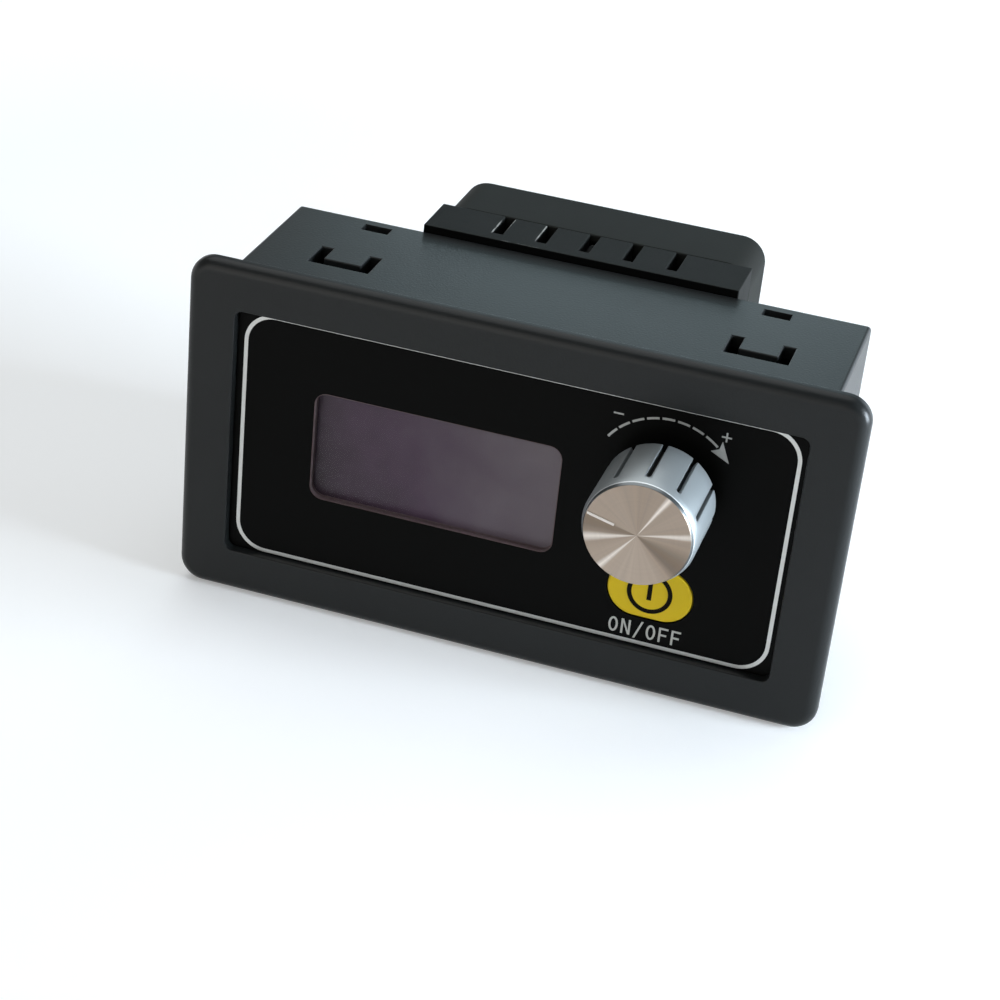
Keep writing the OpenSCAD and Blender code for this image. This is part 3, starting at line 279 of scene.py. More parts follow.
def displayFinish(name):
    # unlit display cell: purple-grey with painted shade to the left and bottom and painted light to the
    # right, with the faint grid of its dots
    mat, root = newFinish(name)
    low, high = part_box("display_glass")
    x, _, z = axes(root)
    along = (x - low.x) / (high.x - low.x)
    rise = (z - low.z) / (high.z - low.z)
    cloud = grain(root, 7, 3)
    # painted light and shade: dark at the left and bottom, pale at the right and top, mottled
    base = root.node("ShaderNodeValToRGB", {"stops": [
        (0.0, ink(36, 22, 28)), (0.4, ink(94, 72, 94)), (1.0, ink(154, 145, 152))]},
        {"Fac": along * 0.85 + 0.4 * (cloud - 0.5) + 0.12 * rise})
    pitch = 0.21 * mm
    cellX, cellZ = (root.math("FRACT", v / pitch + 500) for v in (x, z))
    line = root.math("MAXIMUM", cellX > 0.88, cellZ > 0.88)
    return painted(mat, root, {
        "Base Color": mixed(root, line * 0.2, base, ink(80, 72, 84)),
        "Roughness": 0.35 + 0.1 * cloud})


sinkLook = {  # mm: depth from the rear where the painted shadow on the front part begins, and where the slots' edges are rubbed
    "shadowFromRear": 7.3, "frontClear": 1.6, "rearClear": 0.3, "topBand": 0.6, "rubFrom": -12.5, "rubTo": -5.0}


def anodisedFinish(name, colour):
    # black anodised extrusion: die lines along the fins, a few chips, and painted shadow that makes the front
    # face near black
    mat, root = newFinish(name)
    # painted shadow: everything nearer the front than this is painted near black
    front = axes(root)[1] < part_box("heat_sink")[1].y - sinkLook["shadowFromRear"] * mm
    lines = grain(root, 0.18, 3, (1, 1, 0.04))
    cloud = grain(root, 5, 4)
    chips = root.math("MULTIPLY", grain(root, 0.7, 5) - 0.7, 6.0, True)
    tone = mixed(root, cloud, darker(colour, 0.8), darker(colour, 1.2))
    tone = mixed(root, chips * 0.2, tone, ink(96, 96, 94))
    return painted(mat, root, {
        "Base Color": mixed(root, front, tone, darker(colour, 0.15)),
        "Specular IOR Level": 0.03,
        "Roughness": 0.46 + 0.16 * lines,
        "Normal": bumped(root, lines, 0.006)})


def wornFinish(name, colour):
    # rubbed edge of the anodised block: bare aluminium along two slots, a few specks elsewhere
    mat, root = newFinish(name)
    low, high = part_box("heat_sink")
    across, deep, up = axes(root)
    slots = (deep > low.y + sinkLook["frontClear"] * mm) * (deep < high.y - sinkLook["rearClear"] * mm)
    slots = slots * (up > high.z - sinkLook["topBand"] * mm)
    slots = slots * (across > sinkLook["rubFrom"] * mm) * (across < sinkLook["rubTo"] * mm)
    bare = root.math("MULTIPLY", grain(root, 1.3, 4, (1, 0.5, 1)) - (0.72 - 0.3 * slots), 5.0, True)
    return painted(mat, root, {
        "Base Color": mixed(root, bare, colour, ink(166, 164, 158)),
        "Metallic": 0.7 * bare,
        "Specular IOR Level": 0.03,
        "Roughness": 0.5 - 0.15 * bare})


def boardFinish(name):
    # solder mask over copper: faintly raised traces under a black coat
    mat, root = newFinish(name)
    cells = root.node("ShaderNodeTexVoronoi", {"distance": "MANHATTAN", "feature": "F1"}, {
        "Vector": place(root), "Scale": 1 / (3.2 * mm), "Randomness": 0.9})
    trace = root.math("MULTIPLY", root.math("FRACT", cells * 4.0) - 0.72, 8.0, True)
    cloud = grain(root, 9, 3)
    ground = mixed(root, cloud, ink(20, 22, 25), ink(30, 33, 37))
    return painted(mat, root, {
        "Base Color": mixed(root, trace * 0.6, ground, ink(44, 48, 52)),
        "Roughness": 0.3 + 0.1 * cloud,
        "Coat Weight": 0.3 * cloud,
        "Normal": bumped(root, trace, 0.03)})


def windingFinish(name):
    # enamelled copper wire: close turns across the coil
    mat, root = newFinish(name)
    turns = root.node("ShaderNodeTexWave", {"bands_direction": "Y"}, {
        "Vector": place(root), "Scale": 1 / (0.9 * mm), "Distortion": 0.6})
    return painted(mat, root, {
        "Base Color": mixed(root, turns, ink(110, 52, 22), ink(196, 118, 62)),
        "Metallic": 0.9,
        "Roughness": 0.3 + 0.1 * turns,
        "Normal": bumped(root, turns, 0.06)})


caseBlack = mouldedFinish("moulded case", ink(29, 31, 31), 0.34, 0.3, 0.018, 0.92, 0.24)
filmBlack = mouldedFinish("printed film", ink(6, 6, 5), 0.4, 0.15, 0.004, 0.9, 0.05)
lensClear = lensFinish("window lens")
displayGrey = displayFinish("display cell")
silverInk = printedFinish("silver ink", ink(206, 206, 202), 0.38, 0.75)
markInk = printedFinish("grey ink", ink(168, 168, 164), 0.42, 0.6)
whiteInk = printedFinish("white ink", ink(190, 190, 184), 0.42, 0.4)
blackInk = printedFinish("black ink", ink(14, 11, 5), 0.5, 0.0, 0.35, 0.06)
yellowKey = mouldedFinish("yellow key", ink(246, 212, 36), 0.36, 0.4, 0.006, 0.95, 0.3)
spunFace = spunFinish("spun aluminium", ink(206, 198, 190))
turnedSide = turnedFinish("satin aluminium", ink(158, 164, 166))
# pointer line: painted highlight where the cut catches the light
pointerHighlight = metalFinish("painted pointer highlight", ink(214, 206, 198), 0.36, 0.1, (1, 1, 1), 0.002, 0.03, 0.85)
blackPlastic = mouldedFinish("black plastic", ink(26, 26, 26), 0.45, 0.2, 0.008, 0.9)
whitePlastic = mouldedFinish("white plastic", ink(224, 224, 218), 0.4, 0.3, 0.006, 0.96)
brownPlastic = mouldedFinish("phenolic", ink(92, 62, 40), 0.5, 0.12, 0.01, 0.85)
padGrey = mouldedFinish("thermal pad", ink(150, 160, 168), 0.7, 0.1, 0.02, 0.95)
sinkBlack = anodisedFinish("black anodised", ink(32, 33, 32))
sinkWorn = wornFinish("rubbed anodising", ink(36, 37, 36))
fanBlack = mouldedFinish("fan moulding", ink(37, 38, 36), 0.55, 0.3, 0.012, 0.92, 0.03)
zincGrey = metalFinish("die-cast zinc", ink(178, 178, 174), 0.4, 0.1, (1, 1, 1), 0.01)
tinned = metalFinish("tinned brass", ink(206, 198, 168), 0.3, 0.2)
steelBright = metalFinish("bright steel", ink(200, 200, 198), 0.25, 0.2)
steelDark = metalFinish("black screw", ink(52, 52, 52), 0.38, 0.2)
canGrey = metalFinish("capacitor can", ink(196, 198, 204), 0.28, 0.2, (1, 0.05, 1))
sleeveBrass = metalFinish("sintered sleeve", ink(176, 142, 78), 0.5, 0.06, (1, 1, 1), 0.02)
copperTurns = windingFinish("windings")
ferrite = mouldedFinish("bonded ferrite", ink(58, 54, 52), 0.6, 0.08, 0.02, 0.9)
redWire = mouldedFinish("red wire sleeve", ink(138, 32, 24), 0.4, 0.3, 0.004, 0.9)
blackWire = mouldedFinish("black wire sleeve", ink(11, 11, 11), 0.55, 0.3, 0.004, 0.9, 0.1)
boardBlack = boardFinish("black solder mask")
solder = metalFinish("solder", ink(190, 190, 188), 0.32, 0.15, (1, 1, 1), 0.006)

nodeFinish = {
    "case_shell": caseBlack, "faceplate": filmBlack, "window_lens": lensClear,
    "display_glass": displayGrey, "display_tray": whitePlastic, "control_board": boardBlack,
    "controller_chip": blackPlastic, "encoder_cup": brownPlastic, "encoder_bush": zincGrey,
    "encoder_pins": tinned, "push_contact": tinned, "push_plate": whitePlastic, "encoder_shaft": zincGrey,
    "detent_wheel": whitePlastic, "knob_cap": turnedSide, "knob_core": blackPlastic,
    "switch_body": blackPlastic, "switch_legs": tinned, "switch_plunger": whitePlastic,
    "on_off_key": yellowKey, "link_socket": blackPlastic, "link_header": blackPlastic,
    "link_pins": tinned, "power_board": boardBlack, "transistor_body": blackPlastic,
    "transistor_frame": tinned, "transistor_screw": steelBright, "thermal_pad": padGrey,
    "filter_capacitors": canGrey, "shunt_resistors": blackPlastic, "heat_sink": sinkBlack,
    "heat_sink_screws": steelBright, "terminal_block": blackPlastic, "terminal_bars": tinned,
    "clamp_cage_upper": tinned, "clamp_cage_lower": tinned, "clamp_screw_upper": steelBright,
    "clamp_screw_lower": steelBright, "supply_jack": blackPlastic, "supply_pin": tinned,
    "supply_spring": tinned, "fan_frame": fanBlack, "fan_sleeve": sleeveBrass, "fan_stator": steelBright,
    "fan_coils": copperTurns, "fan_hub": fanBlack, "fan_magnet": ferrite, "fan_shaft": steelBright,
    "fan_wire_red": redWire, "fan_wire_black": blackWire, "fan_screws": steelDark,
}
for name, finish in nodeFinish.items():
    nodes[name].data.materials.clear()
    nodes[name].data.materials.append(finish)
print("finishes:", len(bpy.data.materials))


# Mesh helpers: arrays in millimetres, faces as index arrays

def gridFaces(n, m, closeN=False, closeM=False):
    # quads between neighbours on an n by m grid, wrapped round where it is closed
    i, j = np.meshgrid(np.arange(n if closeN else n - 1), np.arange(m if closeM else m - 1), indexing="ij")
    a, b = i.ravel(), j.ravel()
    c, d = (a + 1) % n, (b + 1) % m
    return np.stack([a * m + b, c * m + b, c * m + d, a * m + d], 1)


def joined(parts):
    # several (points, faces) pairs as one
    verts, faces, count = [], [], 0
    for v, f in parts:
        v = np.asarray(v, float).reshape(-1, 3)
        verts.append(v)
        faces.extend((np.asarray(q) + count).tolist() for q in f)
        count += len(v)
    return np.concatenate(verts), faces


def addPiece(name, part, finish, body, replaced=(), crease=35):
    verts, faces = part
    data = bpy.data.meshes.new(name)
    data.from_pydata((np.asarray(verts, float).reshape(-1, 3) * mm).tolist(), [], [list(f) for f in faces])
    tidy = bmesh.new()
    tidy.from_mesh(data)
    bmesh.ops.remove_doubles(tidy, verts=tidy.verts, dist=0.0004 * mm)
    bmesh.ops.recalc_face_normals(tidy, faces=tidy.faces)
    tidy.to_mesh(data)
    tidy.free()
    data.polygons.foreach_set("use_smooth", np.ones(len(data.polygons), bool))
    data.set_sharp_from_angle(angle=math.radians(crease))
    data.materials.append(finish)
    piece = bpy.data.objects.new(name, data)
    bpy.context.scene.collection.objects.link(piece)
    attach(piece, body)
    if replaced:
        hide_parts(*replaced)
    return piece


def lathe(profile, turns, centre):
    # profile of (radius, y) turned about the Y axis through centre (x, z)
    a = np.linspace(0, 2 * np.pi, turns, endpoint=False)[:, None]
    r, y = np.asarray(profile, float).T
    points = np.stack([centre[0] + r * np.cos(a), y + 0 * a, centre[1] + r * np.sin(a)], -1)
    return points.reshape(-1, 3), gridFaces(turns, len(r), closeN=True)


def lifted(outline, y):
    # flat points of (x, z) set at depth y
    return np.stack([outline[:, 0], np.full(len(outline), y), outline[:, 1]], 1)


def ribbon(path, width, front, back, closed=False):
    # flat printed stroke: the path of (x, z) widened to both sides and made solid from front to back
    path = np.asarray(path, float)
    ahead = np.roll(path, -1, 0) - np.roll(path, 1, 0) if closed else np.gradient(path, axis=0)
    ahead = ahead / np.linalg.norm(ahead, axis=1, keepdims=True)
    side = np.stack([-ahead[:, 1], ahead[:, 0]], 1) * (width / 2)
    left, right = path + side, path - side
    ring = np.stack([lifted(left, back), lifted(left, front), lifted(right, front), lifted(right, back)], 1)
    faces = list(gridFaces(len(path), 4, closeN=closed, closeM=True))
    if not closed:
        last = 4 * (len(path) - 1)
        faces += [np.arange(4), np.arange(4) + last]
    return ring.reshape(-1, 3), faces


def prism(outline, front, back):
    # flat outline of (x, z) made solid from front to back
    outline = np.asarray(outline, float)
    n = len(outline)
    i = np.arange(n)
    sides = np.stack([i, (i + 1) % n, (i + 1) % n + n, i + n], 1)
    return np.concatenate([lifted(outline, front), lifted(outline, back)]), [i, i + n, *sides]


def arc(centre, r, start, end, count=24):
    a = np.radians(np.linspace(start, end, count))
    return np.stack([centre[0] + r * np.cos(a), centre[1] + r * np.sin(a)], 1)


def softened(node, body, slot, width, worn=None, segments=2, limit=32):
    # copy of a CAD node: doubles merged, flat areas joined and the sharp edges rounded
    source = nodes[node].data
    co = np.empty(len(source.vertices) * 3)
    source.vertices.foreach_get("co", co)
    corner = np.empty(len(source.loops), int)
    source.loops.foreach_get("vertex_index", corner)
    data = bpy.data.meshes.new(node + "_soft")
    data.from_pydata(co.reshape(-1, 3).tolist(), [], corner.reshape(-1, 3).tolist())
    tidy = bmesh.new()
    tidy.from_mesh(data)
    bmesh.ops.remove_doubles(tidy, verts=tidy.verts, dist=0.0008 * mm)
    bmesh.ops.dissolve_limit(tidy, angle_limit=math.radians(0.5), verts=tidy.verts, edges=tidy.edges)
    tidy.to_mesh(data)
    tidy.free()
    data.polygons.foreach_set("use_smooth", np.ones(len(data.polygons), bool))
    data.materials.append(nodeFinish[node])
    piece = bpy.data.objects.new(node + "_soft", data)
    bpy.context.scene.collection.objects.link(piece)
    edge = piece.modifiers.new("edges", "BEVEL")
    edge.width = width * mm
    edge.segments = segments
    edge.limit_method = "ANGLE"
    edge.angle_limit = math.radians(limit)
    edge.use_clamp_overlap = False
    edge.harden_normals = True
    if worn:
        data.materials.append(worn)
        edge.material = 1
    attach(piece, body)
    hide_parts(node)
    return piece


softEdges = {  # node: (body, slot, edge radius in mm, finish of the edge if it differs)
    "case_shell": ("case", "case_plastic", 0.16),
    "faceplate": ("case", "front_film", 0.05),
    "on_off_key": ("key", "key_plastic", 0.22),
    "knob_cap": ("knob", "knob_aluminium", 0.12),
    "heat_sink": ("case", "sink_aluminium", 0.12, sinkWorn),
    "fan_frame": ("case", "fan_plastic", 0.2),
    "terminal_block": ("case", "black_plastic", 0.12),
    "supply_jack": ("case", "black_plastic", 0.15),
}
for node, settings in softEdges.items():
    softened(node, *settings)
print("edges rounded:", len(softEdges))


# Printed marks on the faceplate

knobX, _, knobZ = (v / mm for v in joints["knob_turn"]["pos_m"])
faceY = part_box("faceplate")[0].y / mm
inkT = 0.02
printX, printZ = 0.15, 0.1  # the print sits this far off the bezel's middle

frameLine = {"width": 65.0, "height": 30.7, "corner": 3.5, "stroke": 0.46, "steps": 12}
w, h, r = frameLine["width"] / 2, frameLine["height"] / 2, frameLine["corner"]
corners = [((w - r, h - r), 0), ((r - w, h - r), 90), ((r - w, r - h), 180), ((w - r, r - h), 270)]
outline = np.concatenate([arc(c, r, a, a + 90, frameLine["steps"]) for c, a in corners]) + (printX, printZ)
addPiece("frame_line", ribbon(outline, frameLine["stroke"], faceY - inkT, faceY, closed=True),
         silverInk, "case")

turnMark = {"shift": (-0.14, 0.06), "radius": 8.31, "start": 146.0, "end": 49.0, "dashes": 8, "gap": 0.19,
            "stroke": 0.27, "headWidth": 1.85, "headEnd": 33.2, "notch": 2.0, "barb": 0.02}
step = (turnMark["end"] - turnMark["start"]) / turnMark["dashes"]
markX, markZ = knobX + turnMark["shift"][0], knobZ + turnMark["shift"][1]
strokes = [ribbon(arc((markX, markZ), turnMark["radius"], turnMark["start"] + i * step,
                      turnMark["start"] + (i + 1 - turnMark["gap"] * (i < turnMark["dashes"] - 1)) * step, 8),
                  turnMark["stroke"], faceY - inkT, faceY) for i in range(turnMark["dashes"])]
tip, base, notch = (np.radians(turnMark[k]) for k in ("headEnd", "end", "notch"))
r, wide = turnMark["radius"], turnMark["headWidth"] / 2
barb = base + turnMark["barb"]
headEdge = [(r, tip), (r + wide, barb), (r, base - notch), (r - wide, barb)]
head = [(markX + q * math.cos(a), markZ + q * math.sin(a)) for q, a in headEdge]
strokes.append(prism(head, faceY - inkT, faceY))

signs = {"minus": (12.0, 13.25), "plus": (24.3, 13.24), "length": 1.15, "stroke": 0.19}
half, t = signs["length"] / 2, signs["stroke"]
for x, z in (signs["minus"], signs["plus"]):
    strokes.append(ribbon([(x - half, z), (x + half, z)], t, faceY - inkT, faceY))
px, pz = signs["plus"]
strokes += [ribbon([(px, pz + s * t / 2), (px, pz + s * half)], t, faceY - inkT, faceY) for s in (-1, 1)]
addPiece("turn_marks", joined(strokes), markInk, "case")

lettering = {"left": 14.02, "right": 22.6, "low": -14.52, "high": -12.56, "stroke": 0.25, "gap": 0.38}


def letterShapes(letter, x, z, w, h, t):
    # a letter's outlines in its cell: strokes t wide, corners shared
    if letter == "O":
        turn = np.radians(np.arange(0, 360, 10))
        oval = np.stack([x + w / 2 + (w - t) / 2 * np.cos(turn), z + h / 2 + (h - t) / 2 * np.sin(turn)], 1)
        return [ribbon(oval, t, faceY - inkT, faceY, closed=True)]
    if letter == "N":
        shape = [(0, 0), (0, h), (1.1 * t, h), (w - t, 1.9 * t), (w - t, h), (w, h), (w, 0), (w - 1.1 * t, 0),
                 (t, h - 1.9 * t), (t, 0)]
    elif letter == "F":
        armW, armLow, armHigh = 0.85 * w, h / 2 - t / 2, h / 2 + t / 2
        shape = [(0, 0), (0, h), (w, h), (w, h - t), (t, h - t), (t, armHigh), (armW, armHigh),
                 (armW, armLow), (t, armLow), (t, 0)]
    else:  # slash
        shape = [(0, -0.12 * h), (w - t, 1.08 * h), (w, 1.08 * h), (t, -0.12 * h)]
    return [prism(np.array(shape) + (x, z), faceY - inkT, faceY)]


word = "ON/OFF"
cell = (lettering["right"] - lettering["left"] + lettering["gap"]) / len(word)
letters = [s for i, letter in enumerate(word) for s in letterShapes(
    letter, lettering["left"] + i * cell, lettering["low"], cell - lettering["gap"],
    lettering["high"] - lettering["low"], lettering["stroke"])]
addPiece("key_lettering", joined(letters), whiteInk, "case")

keyLow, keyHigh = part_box("on_off_key")
keyX, keyZ = (keyLow.x + keyHigh.x) / 2 / mm, (keyLow.z + keyHigh.z) / 2 / mm
keyFront = keyLow.y / mm
powerSign = {"radius": 2.42, "stroke": 0.54, "opening": 42, "barLow": -0.95, "barHigh": 2.7}
gapHalf = powerSign["opening"] / 2
ringArc = arc((keyX, keyZ), powerSign["radius"], 90 + gapHalf, 450 - gapHalf, 64)
bar = [(keyX, keyZ + powerSign["barLow"]), (keyX, keyZ + powerSign["barHigh"])]
signParts = [ribbon(path, powerSign["stroke"], keyFront - inkT, keyFront) for path in (ringArc, bar)]
addPiece("power_sign", joined(signParts), blackInk, "key")
print("printed marks done")


# Spun face of the knob: fine turned rings, the V-shaped pointer cut and a painted highlight line along it

knobFace = {"rings": 40, "steps": 3, "turns": 288, "ringDepth": 0.003, "skin": 0.03, "plainR": 0.12,
            "pointer": 166.0, "pointerInner": 2.6, "pointerWidth": 0.62, "pointerDepth": 0.06,
            "lineWidth": 0.3, "lineInset": 0.1, "lineRise": 0.006, "lineSunk": 0.04}
capLow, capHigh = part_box("knob_cap")
capR, capFront = (capHigh.x - capLow.x) / 2 / mm, capLow.y / mm
faceR = capR - knobBevel
r = np.linspace(0, faceR - 0.02, knobFace["rings"] * knobFace["steps"] + 1)
a = np.linspace(0, 2 * np.pi, knobFace["turns"], endpoint=False)
rr, aa = np.meshgrid(r, a)
rise = knobFace["ringDepth"] * np.cos(rr / faceR * knobFace["rings"] * 2 * np.pi) * (rr > knobFace["plainR"])
off = np.radians(knobFace["pointer"])
alongLine = rr * np.cos(aa - off)
beside = np.abs(rr * np.sin(aa - off))
cut = np.clip(1 - beside / (knobFace["pointerWidth"] / 2), 0, 1) * (alongLine > knobFace["pointerInner"])
y = capFront - knobFace["skin"] - rise * (cut == 0) + cut * knobFace["pointerDepth"]
points = np.stack([knobX + rr * np.cos(aa), y, knobZ + rr * np.sin(aa)], -1)
skirt = np.stack([knobX + faceR * np.cos(a), np.full(len(a), capFront + 0.01), knobZ + faceR * np.sin(a)], -1)
points = np.concatenate([points, skirt[:, None]], 1)
addPiece("knob_face", (points, gridFaces(*points.shape[:2], closeN=True)), spunFace,
         "knob", crease=60)
ends = (knobFace["pointerInner"] + knobFace["lineInset"], faceR - knobFace["lineInset"])
line = [(knobX + q * math.cos(off), knobZ + q * math.sin(off)) for q in ends]
lineFront = capFront - knobFace["skin"] - knobFace["lineRise"]
# painted highlight strip in the pointer cut
addPiece("knob_pointer", ribbon(line, knobFace["lineWidth"], lineFront, capFront + knobFace["lineSunk"]),
         pointerHighlight, "knob")
print("knob face done")


# Fan rotor: hub and swept blades on a fine grid

rotor = {"blades": 7, "thick": 1.1, "twist": 54.0, "lean": 6.0, "rootInset": 0.5, "edge": 0.7,
         "across": 16, "out": 12, "hubR": 12.5, "wall": 1.3, "inset": 0.3,
         "dishR": 4.0, "dishFloorR": 3.6, "dishDepth": 0.15}
hubLow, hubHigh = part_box("fan_hub")
hubR, wall, inset = rotor["hubR"], rotor["wall"], rotor["inset"]
fanZ = joints["fan_spin"]["pos_m"][2] / mm
hubY, hubBack = hubLow.y / mm, hubHigh.y / mm
tipR = (hubHigh.x - hubLow.x) / 2 / mm
wallIn = hubR - wall
dishY = hubBack - rotor["dishDepth"]
e = rotor["edge"]
rim = np.radians(np.linspace(0, 90, 8))
outer = np.stack([hubR - e + e * np.cos(rim), hubBack - e + e * np.sin(rim)], 1)
profile = np.concatenate([[(wallIn, hubBack - wall), (wallIn, hubY), (hubR, hubY)], outer,
                          [(rotor["dishR"], hubBack), (rotor["dishFloorR"], dishY), (0, dishY)]])
parts = [lathe(p, 128, (0, fanZ)) for p in (profile, [(wallIn, hubBack - wall), (0, hubBack - wall)])]
turn = np.linspace(0, 2 * np.pi, 2 * rotor["across"], endpoint=False)
u = (0.5 - 0.5 * np.cos(turn))[:, None]
side = np.sign(np.sin(turn))[:, None]
v = np.linspace(0, 1, rotor["out"])[None, :]
radius = hubR - rotor["rootInset"] + v * (tipR - hubR + rotor["rootInset"])
halfThick = rotor["thick"] * np.sqrt(np.clip(u * (1 - u), 0, 1)) * (1.25 - 0.5 * u)
sweep = np.radians(rotor["twist"] * (u - 0.5) + rotor["lean"] * v) + side * halfThick / 2 / radius
depth = hubY + inset + u * (hubBack - hubY - 2 * inset) + 0 * v
for i in range(rotor["blades"]):
    b = sweep + 2 * np.pi * i / rotor["blades"]
    blade = np.stack([radius * np.cos(b), depth, fanZ + radius * np.sin(b)], -1)
    n, m = blade.shape[:2]
    caps = [np.arange(n) * m, np.arange(n) * m + m - 1]
    parts.append((blade.reshape(-1, 3), [*gridFaces(n, m, closeN=True), *caps]))
addPiece("fan_rotor", joined(parts), fanBlack, "rotor", ["fan_hub"])
print("fan rotor done")


# Fan lead: two wires over the rim of the middle air slot, down it and through the heat sink's base

lead = {"r": 0.45, "sides": 16, "apart": 0.7, "meet": 60.0, "arcStep": 1.8, "drop": 2.4, "spacing": 2.0,
        "turnZ": -11.0, "turnR": 1.2, "startOut": 0.85, "arcBelow": 2.9, "frameInset": 1.0, "endGap": 0.02}
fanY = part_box("fan_frame")[0].y / mm
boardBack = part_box("power_board")[1].y / mm
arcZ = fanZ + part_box("fan_frame")[1].x / mm - lead["frameInset"] - lead["arcBelow"]
turnZ = fanZ + lead["turnZ"]


def wireRoute(i):
    # half circle over the slot's rim, a straight run down it, a quarter circle into the base
    side = -1 if i == 0 else 1
    downY = fanY - lead["drop"] - i * lead["spacing"]
    startY = fanY + lead["startOut"]
    overR = (startY - downY) / 2
    turnR = lead["turnR"] + (1 - i) * lead["spacing"]
    over = np.radians(np.linspace(0, 180, 25))
    under = np.radians(np.linspace(0, 90, 13))
    spread = side * lead["apart"] * np.clip(1 - np.degrees(over) / lead["meet"], 0, 1)
    top = np.stack([spread, downY + overR + overR * np.cos(over),
                    arcZ - (1 - i) * lead["arcStep"] + overR * np.sin(over)], 1)
    low = np.stack([0 * under, downY - turnR + turnR * np.cos(under), turnZ - turnR * np.sin(under)], 1)
    start = [[side * lead["apart"], startY, fanZ + hubR]]
    end = [[0, boardBack + lead["endGap"], turnZ - turnR]]
    return np.concatenate([start, top, low, end])


def tube(path, r, sides):
    # ring of points square to the path, which stays near the plane of Y and Z
    ahead = np.gradient(path, axis=0)
    ahead /= np.linalg.norm(ahead, axis=1, keepdims=True)
    across = np.cross([1.0, 0, 0], ahead)
    across /= np.linalg.norm(across, axis=1, keepdims=True)
    out = np.cross(ahead, across)
    a = np.linspace(0, 2 * np.pi, sides, endpoint=False)[None, :, None]
    ring = path[:, None] + r * (np.cos(a) * out[:, None] + np.sin(a) * across[:, None])
    n, m = ring.shape[:2]
    return ring.reshape(-1, 3), [*gridFaces(n, m, closeM=True), np.arange(m), np.arange(m) + (n - 1) * m]


leadFinishes = {"red": (redWire, "red_sleeve"), "black": (blackWire, "black_sleeve")}
for i, (name, (finish, slot)) in enumerate(leadFinishes.items()):
    addPiece("fan_lead_" + name, tube(wireRoute(i), lead["r"], lead["sides"]), finish, "case",
             ["fan_wire_" + name])
print("fan lead done")


# Solder joints on the power board's rear face

joint = {"r": 0.85, "height": 0.7, "pin": 0.45, "count": 8, "inset": 0.32}
pinLow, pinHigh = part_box("link_pins")
pinXs = np.linspace(pinLow.x / mm + joint["inset"], pinHigh.x / mm - joint["inset"], joint["count"])
pinZ = (pinLow.z + pinHigh.z) / 2 / mm
s = np.linspace(0, 1, 8)
cone = np.stack([joint["r"] - (joint["r"] - joint["pin"]) * s, boardBack + joint["height"] * s ** 2.2], 1)
cone = np.concatenate([[(0, boardBack)], cone, [(0, boardBack + joint["height"])]])
addPiece("solder_joints", joined([lathe(cone, 24, (x, pinZ)) for x in pinXs]), solder, "case")
print("solder done")


# Floor, lights and camera

support = {"front": (0.0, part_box("case_shell")[0].z / mm), "reach": 3000.0,
           "brightFrom": 150.0, "brightTo": 500.0}
(y0, z0), reach = support["front"], support["reach"]
fanLow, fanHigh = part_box("fan_frame")
slope = (fanLow.z / mm - z0) / (fanHigh.y / mm - y0)  # it lies on the bezel's lower edge and the fan
corners = [(-reach, -reach), (reach, -reach), (reach, reach), (-reach, reach)]
floorData = bpy.data.meshes.new("floor")
floorPoints = [(x * mm, y * mm, (z0 + (y - y0) * slope) * mm) for x, y in corners]
floorData.from_pydata(floorPoints, [], [(0, 1, 2, 3)])
floor = bpy.data.objects.new("floor", floorData)
bpy.context.scene.collection.objects.link(floor)
floorMat, floorRoot = newFinish("pale floor")
seen = seenDirectly(floorRoot)
pale = mixed(floorRoot, grain(floorRoot, 60, 4), ink(240, 240, 240), ink(246, 246, 246))
away = floorRoot.node("ShaderNodeVectorMath", {"operation": "LENGTH"}, {0: place(floorRoot)}, "Value")
away = away / mm - support["brightFrom"]
away = floorRoot.math("DIVIDE", away, support["brightTo"] - support["brightFrom"], True)
glow = mixed(floorRoot, away, ink(124, 124, 124), ink(240, 240, 240))
painted(floorMat, floorRoot, {
    "Base Color": mixed(floorRoot, seen, ink(150, 147, 142), pale),
    "Emission Color": mixed(floorRoot, seen, ink(0, 0, 0), glow),
    "Emission Strength": 1.0, "Roughness": 0.9, "Specular IOR Level": 0.1})
floorData.materials.append(floorMat)

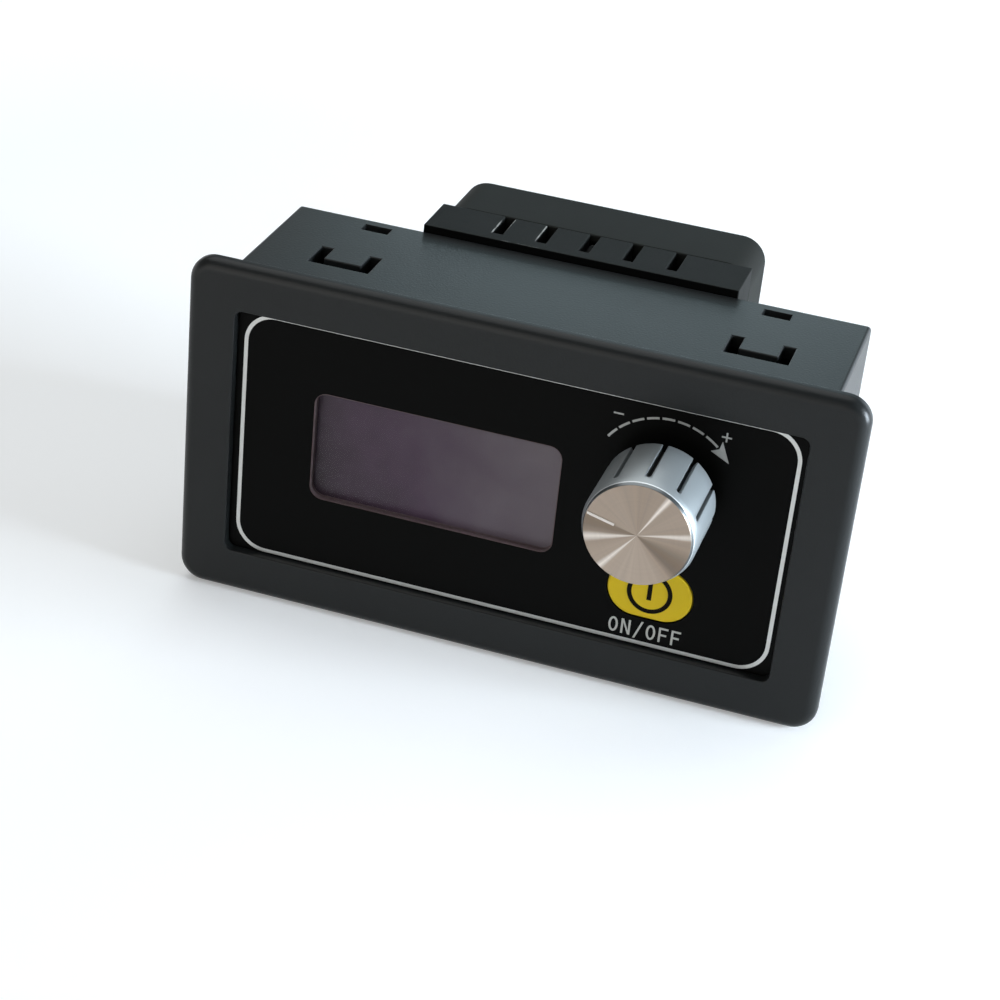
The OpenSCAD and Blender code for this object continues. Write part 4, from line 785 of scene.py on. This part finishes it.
lamps = {  # name: (place mm, aim mm, size mm, watts, colour)
    "overhead": ((-120, 160, 520), (0, 10, 0), 560, 1.55, (0.97, 0.99, 1.0)),
    "window": ((435, -8, 80), (10, -5, 0), 180, 4.8, (0.78, 0.89, 1.0)),
    "sky": ((310, 390, 115), (10, 0, 0), 300, 0.5, (0.72, 0.85, 1.0)),
    "wall": ((-60, 480, 290), (0, 0, 0), 340, 0.12, (0.5, 0.88, 1.0)),
    "front": ((-200, -420, 160), (0, 0, 0), 380, 0.62, (1.0, 0.96, 0.92)),
    "rear": ((-60, 450, 60), (0, 20, 0), 200, 0.3, (0.72, 0.92, 1.0)),
}
for name, (spot, aim, size, watts, colour) in lamps.items():
    lampData = bpy.data.lights.new(name, "AREA")
    lampData.size = size * mm
    lampData.energy = watts
    lampData.color = colour
    lamp = bpy.data.objects.new(name, lampData)
    lamp.location = Vector(spot) * mm
    lamp.rotation_euler = (Vector(aim) - Vector(spot)).to_track_quat("-Z", "Y").to_euler()
    bpy.context.scene.collection.objects.link(lamp)

world = bpy.data.worlds.new("studio")
bpy.context.scene.world = world
world.use_nodes = True
world.node_tree.nodes.clear()
skyRoot = Sock(world.node_tree)
dim, bright = ink(102, 104, 105), ink(246, 250, 252)
towards = skyRoot.node("ShaderNodeTexCoord", out="Generated")
height = skyRoot.node("ShaderNodeSeparateXYZ", {}, {"Vector": towards}, "Z")
sweep = skyRoot.node("ShaderNodeValToRGB", {"stops": [(0.0, bright), (0.1, bright), (0.3, dim), (1.0, dim)]},
                     {"Fac": height})  # white backdrop that fades into a dim ceiling
backdrop = skyRoot.node("ShaderNodeBackground", {}, {
    "Color": mixed(skyRoot, seenDirectly(skyRoot), dim, sweep), "Strength": 1.0})
skyRoot.node("ShaderNodeOutputWorld", {}, {"Surface": backdrop})

shot = {"place": (59.75, -233.47, 132.71), "aim": (-0.67, 0.0, -1.52), "roll": 6.15,
        "lens": 86.46, "sensor": 36.0, "near": 10.0, "far": 10000.0}
camData = bpy.data.cameras.new("camera")
camData.lens, camData.sensor_width = shot["lens"], shot["sensor"]
camData.clip_start, camData.clip_end = shot["near"] * mm, shot["far"] * mm
camera = bpy.data.objects.new("camera", camData)
bpy.context.scene.collection.objects.link(camera)
look = (Vector(shot["aim"]) - Vector(shot["place"])).to_track_quat("-Z", "Y").to_matrix()
camera.matrix_world = (Matrix.Translation(Vector(shot["place"]) * mm)
                       @ (look @ Matrix.Rotation(math.radians(shot["roll"]), 3, "Z")).to_4x4())
bpy.context.scene.camera = camera
bpy.context.scene.view_settings.view_transform = "Standard"
print("stage done")
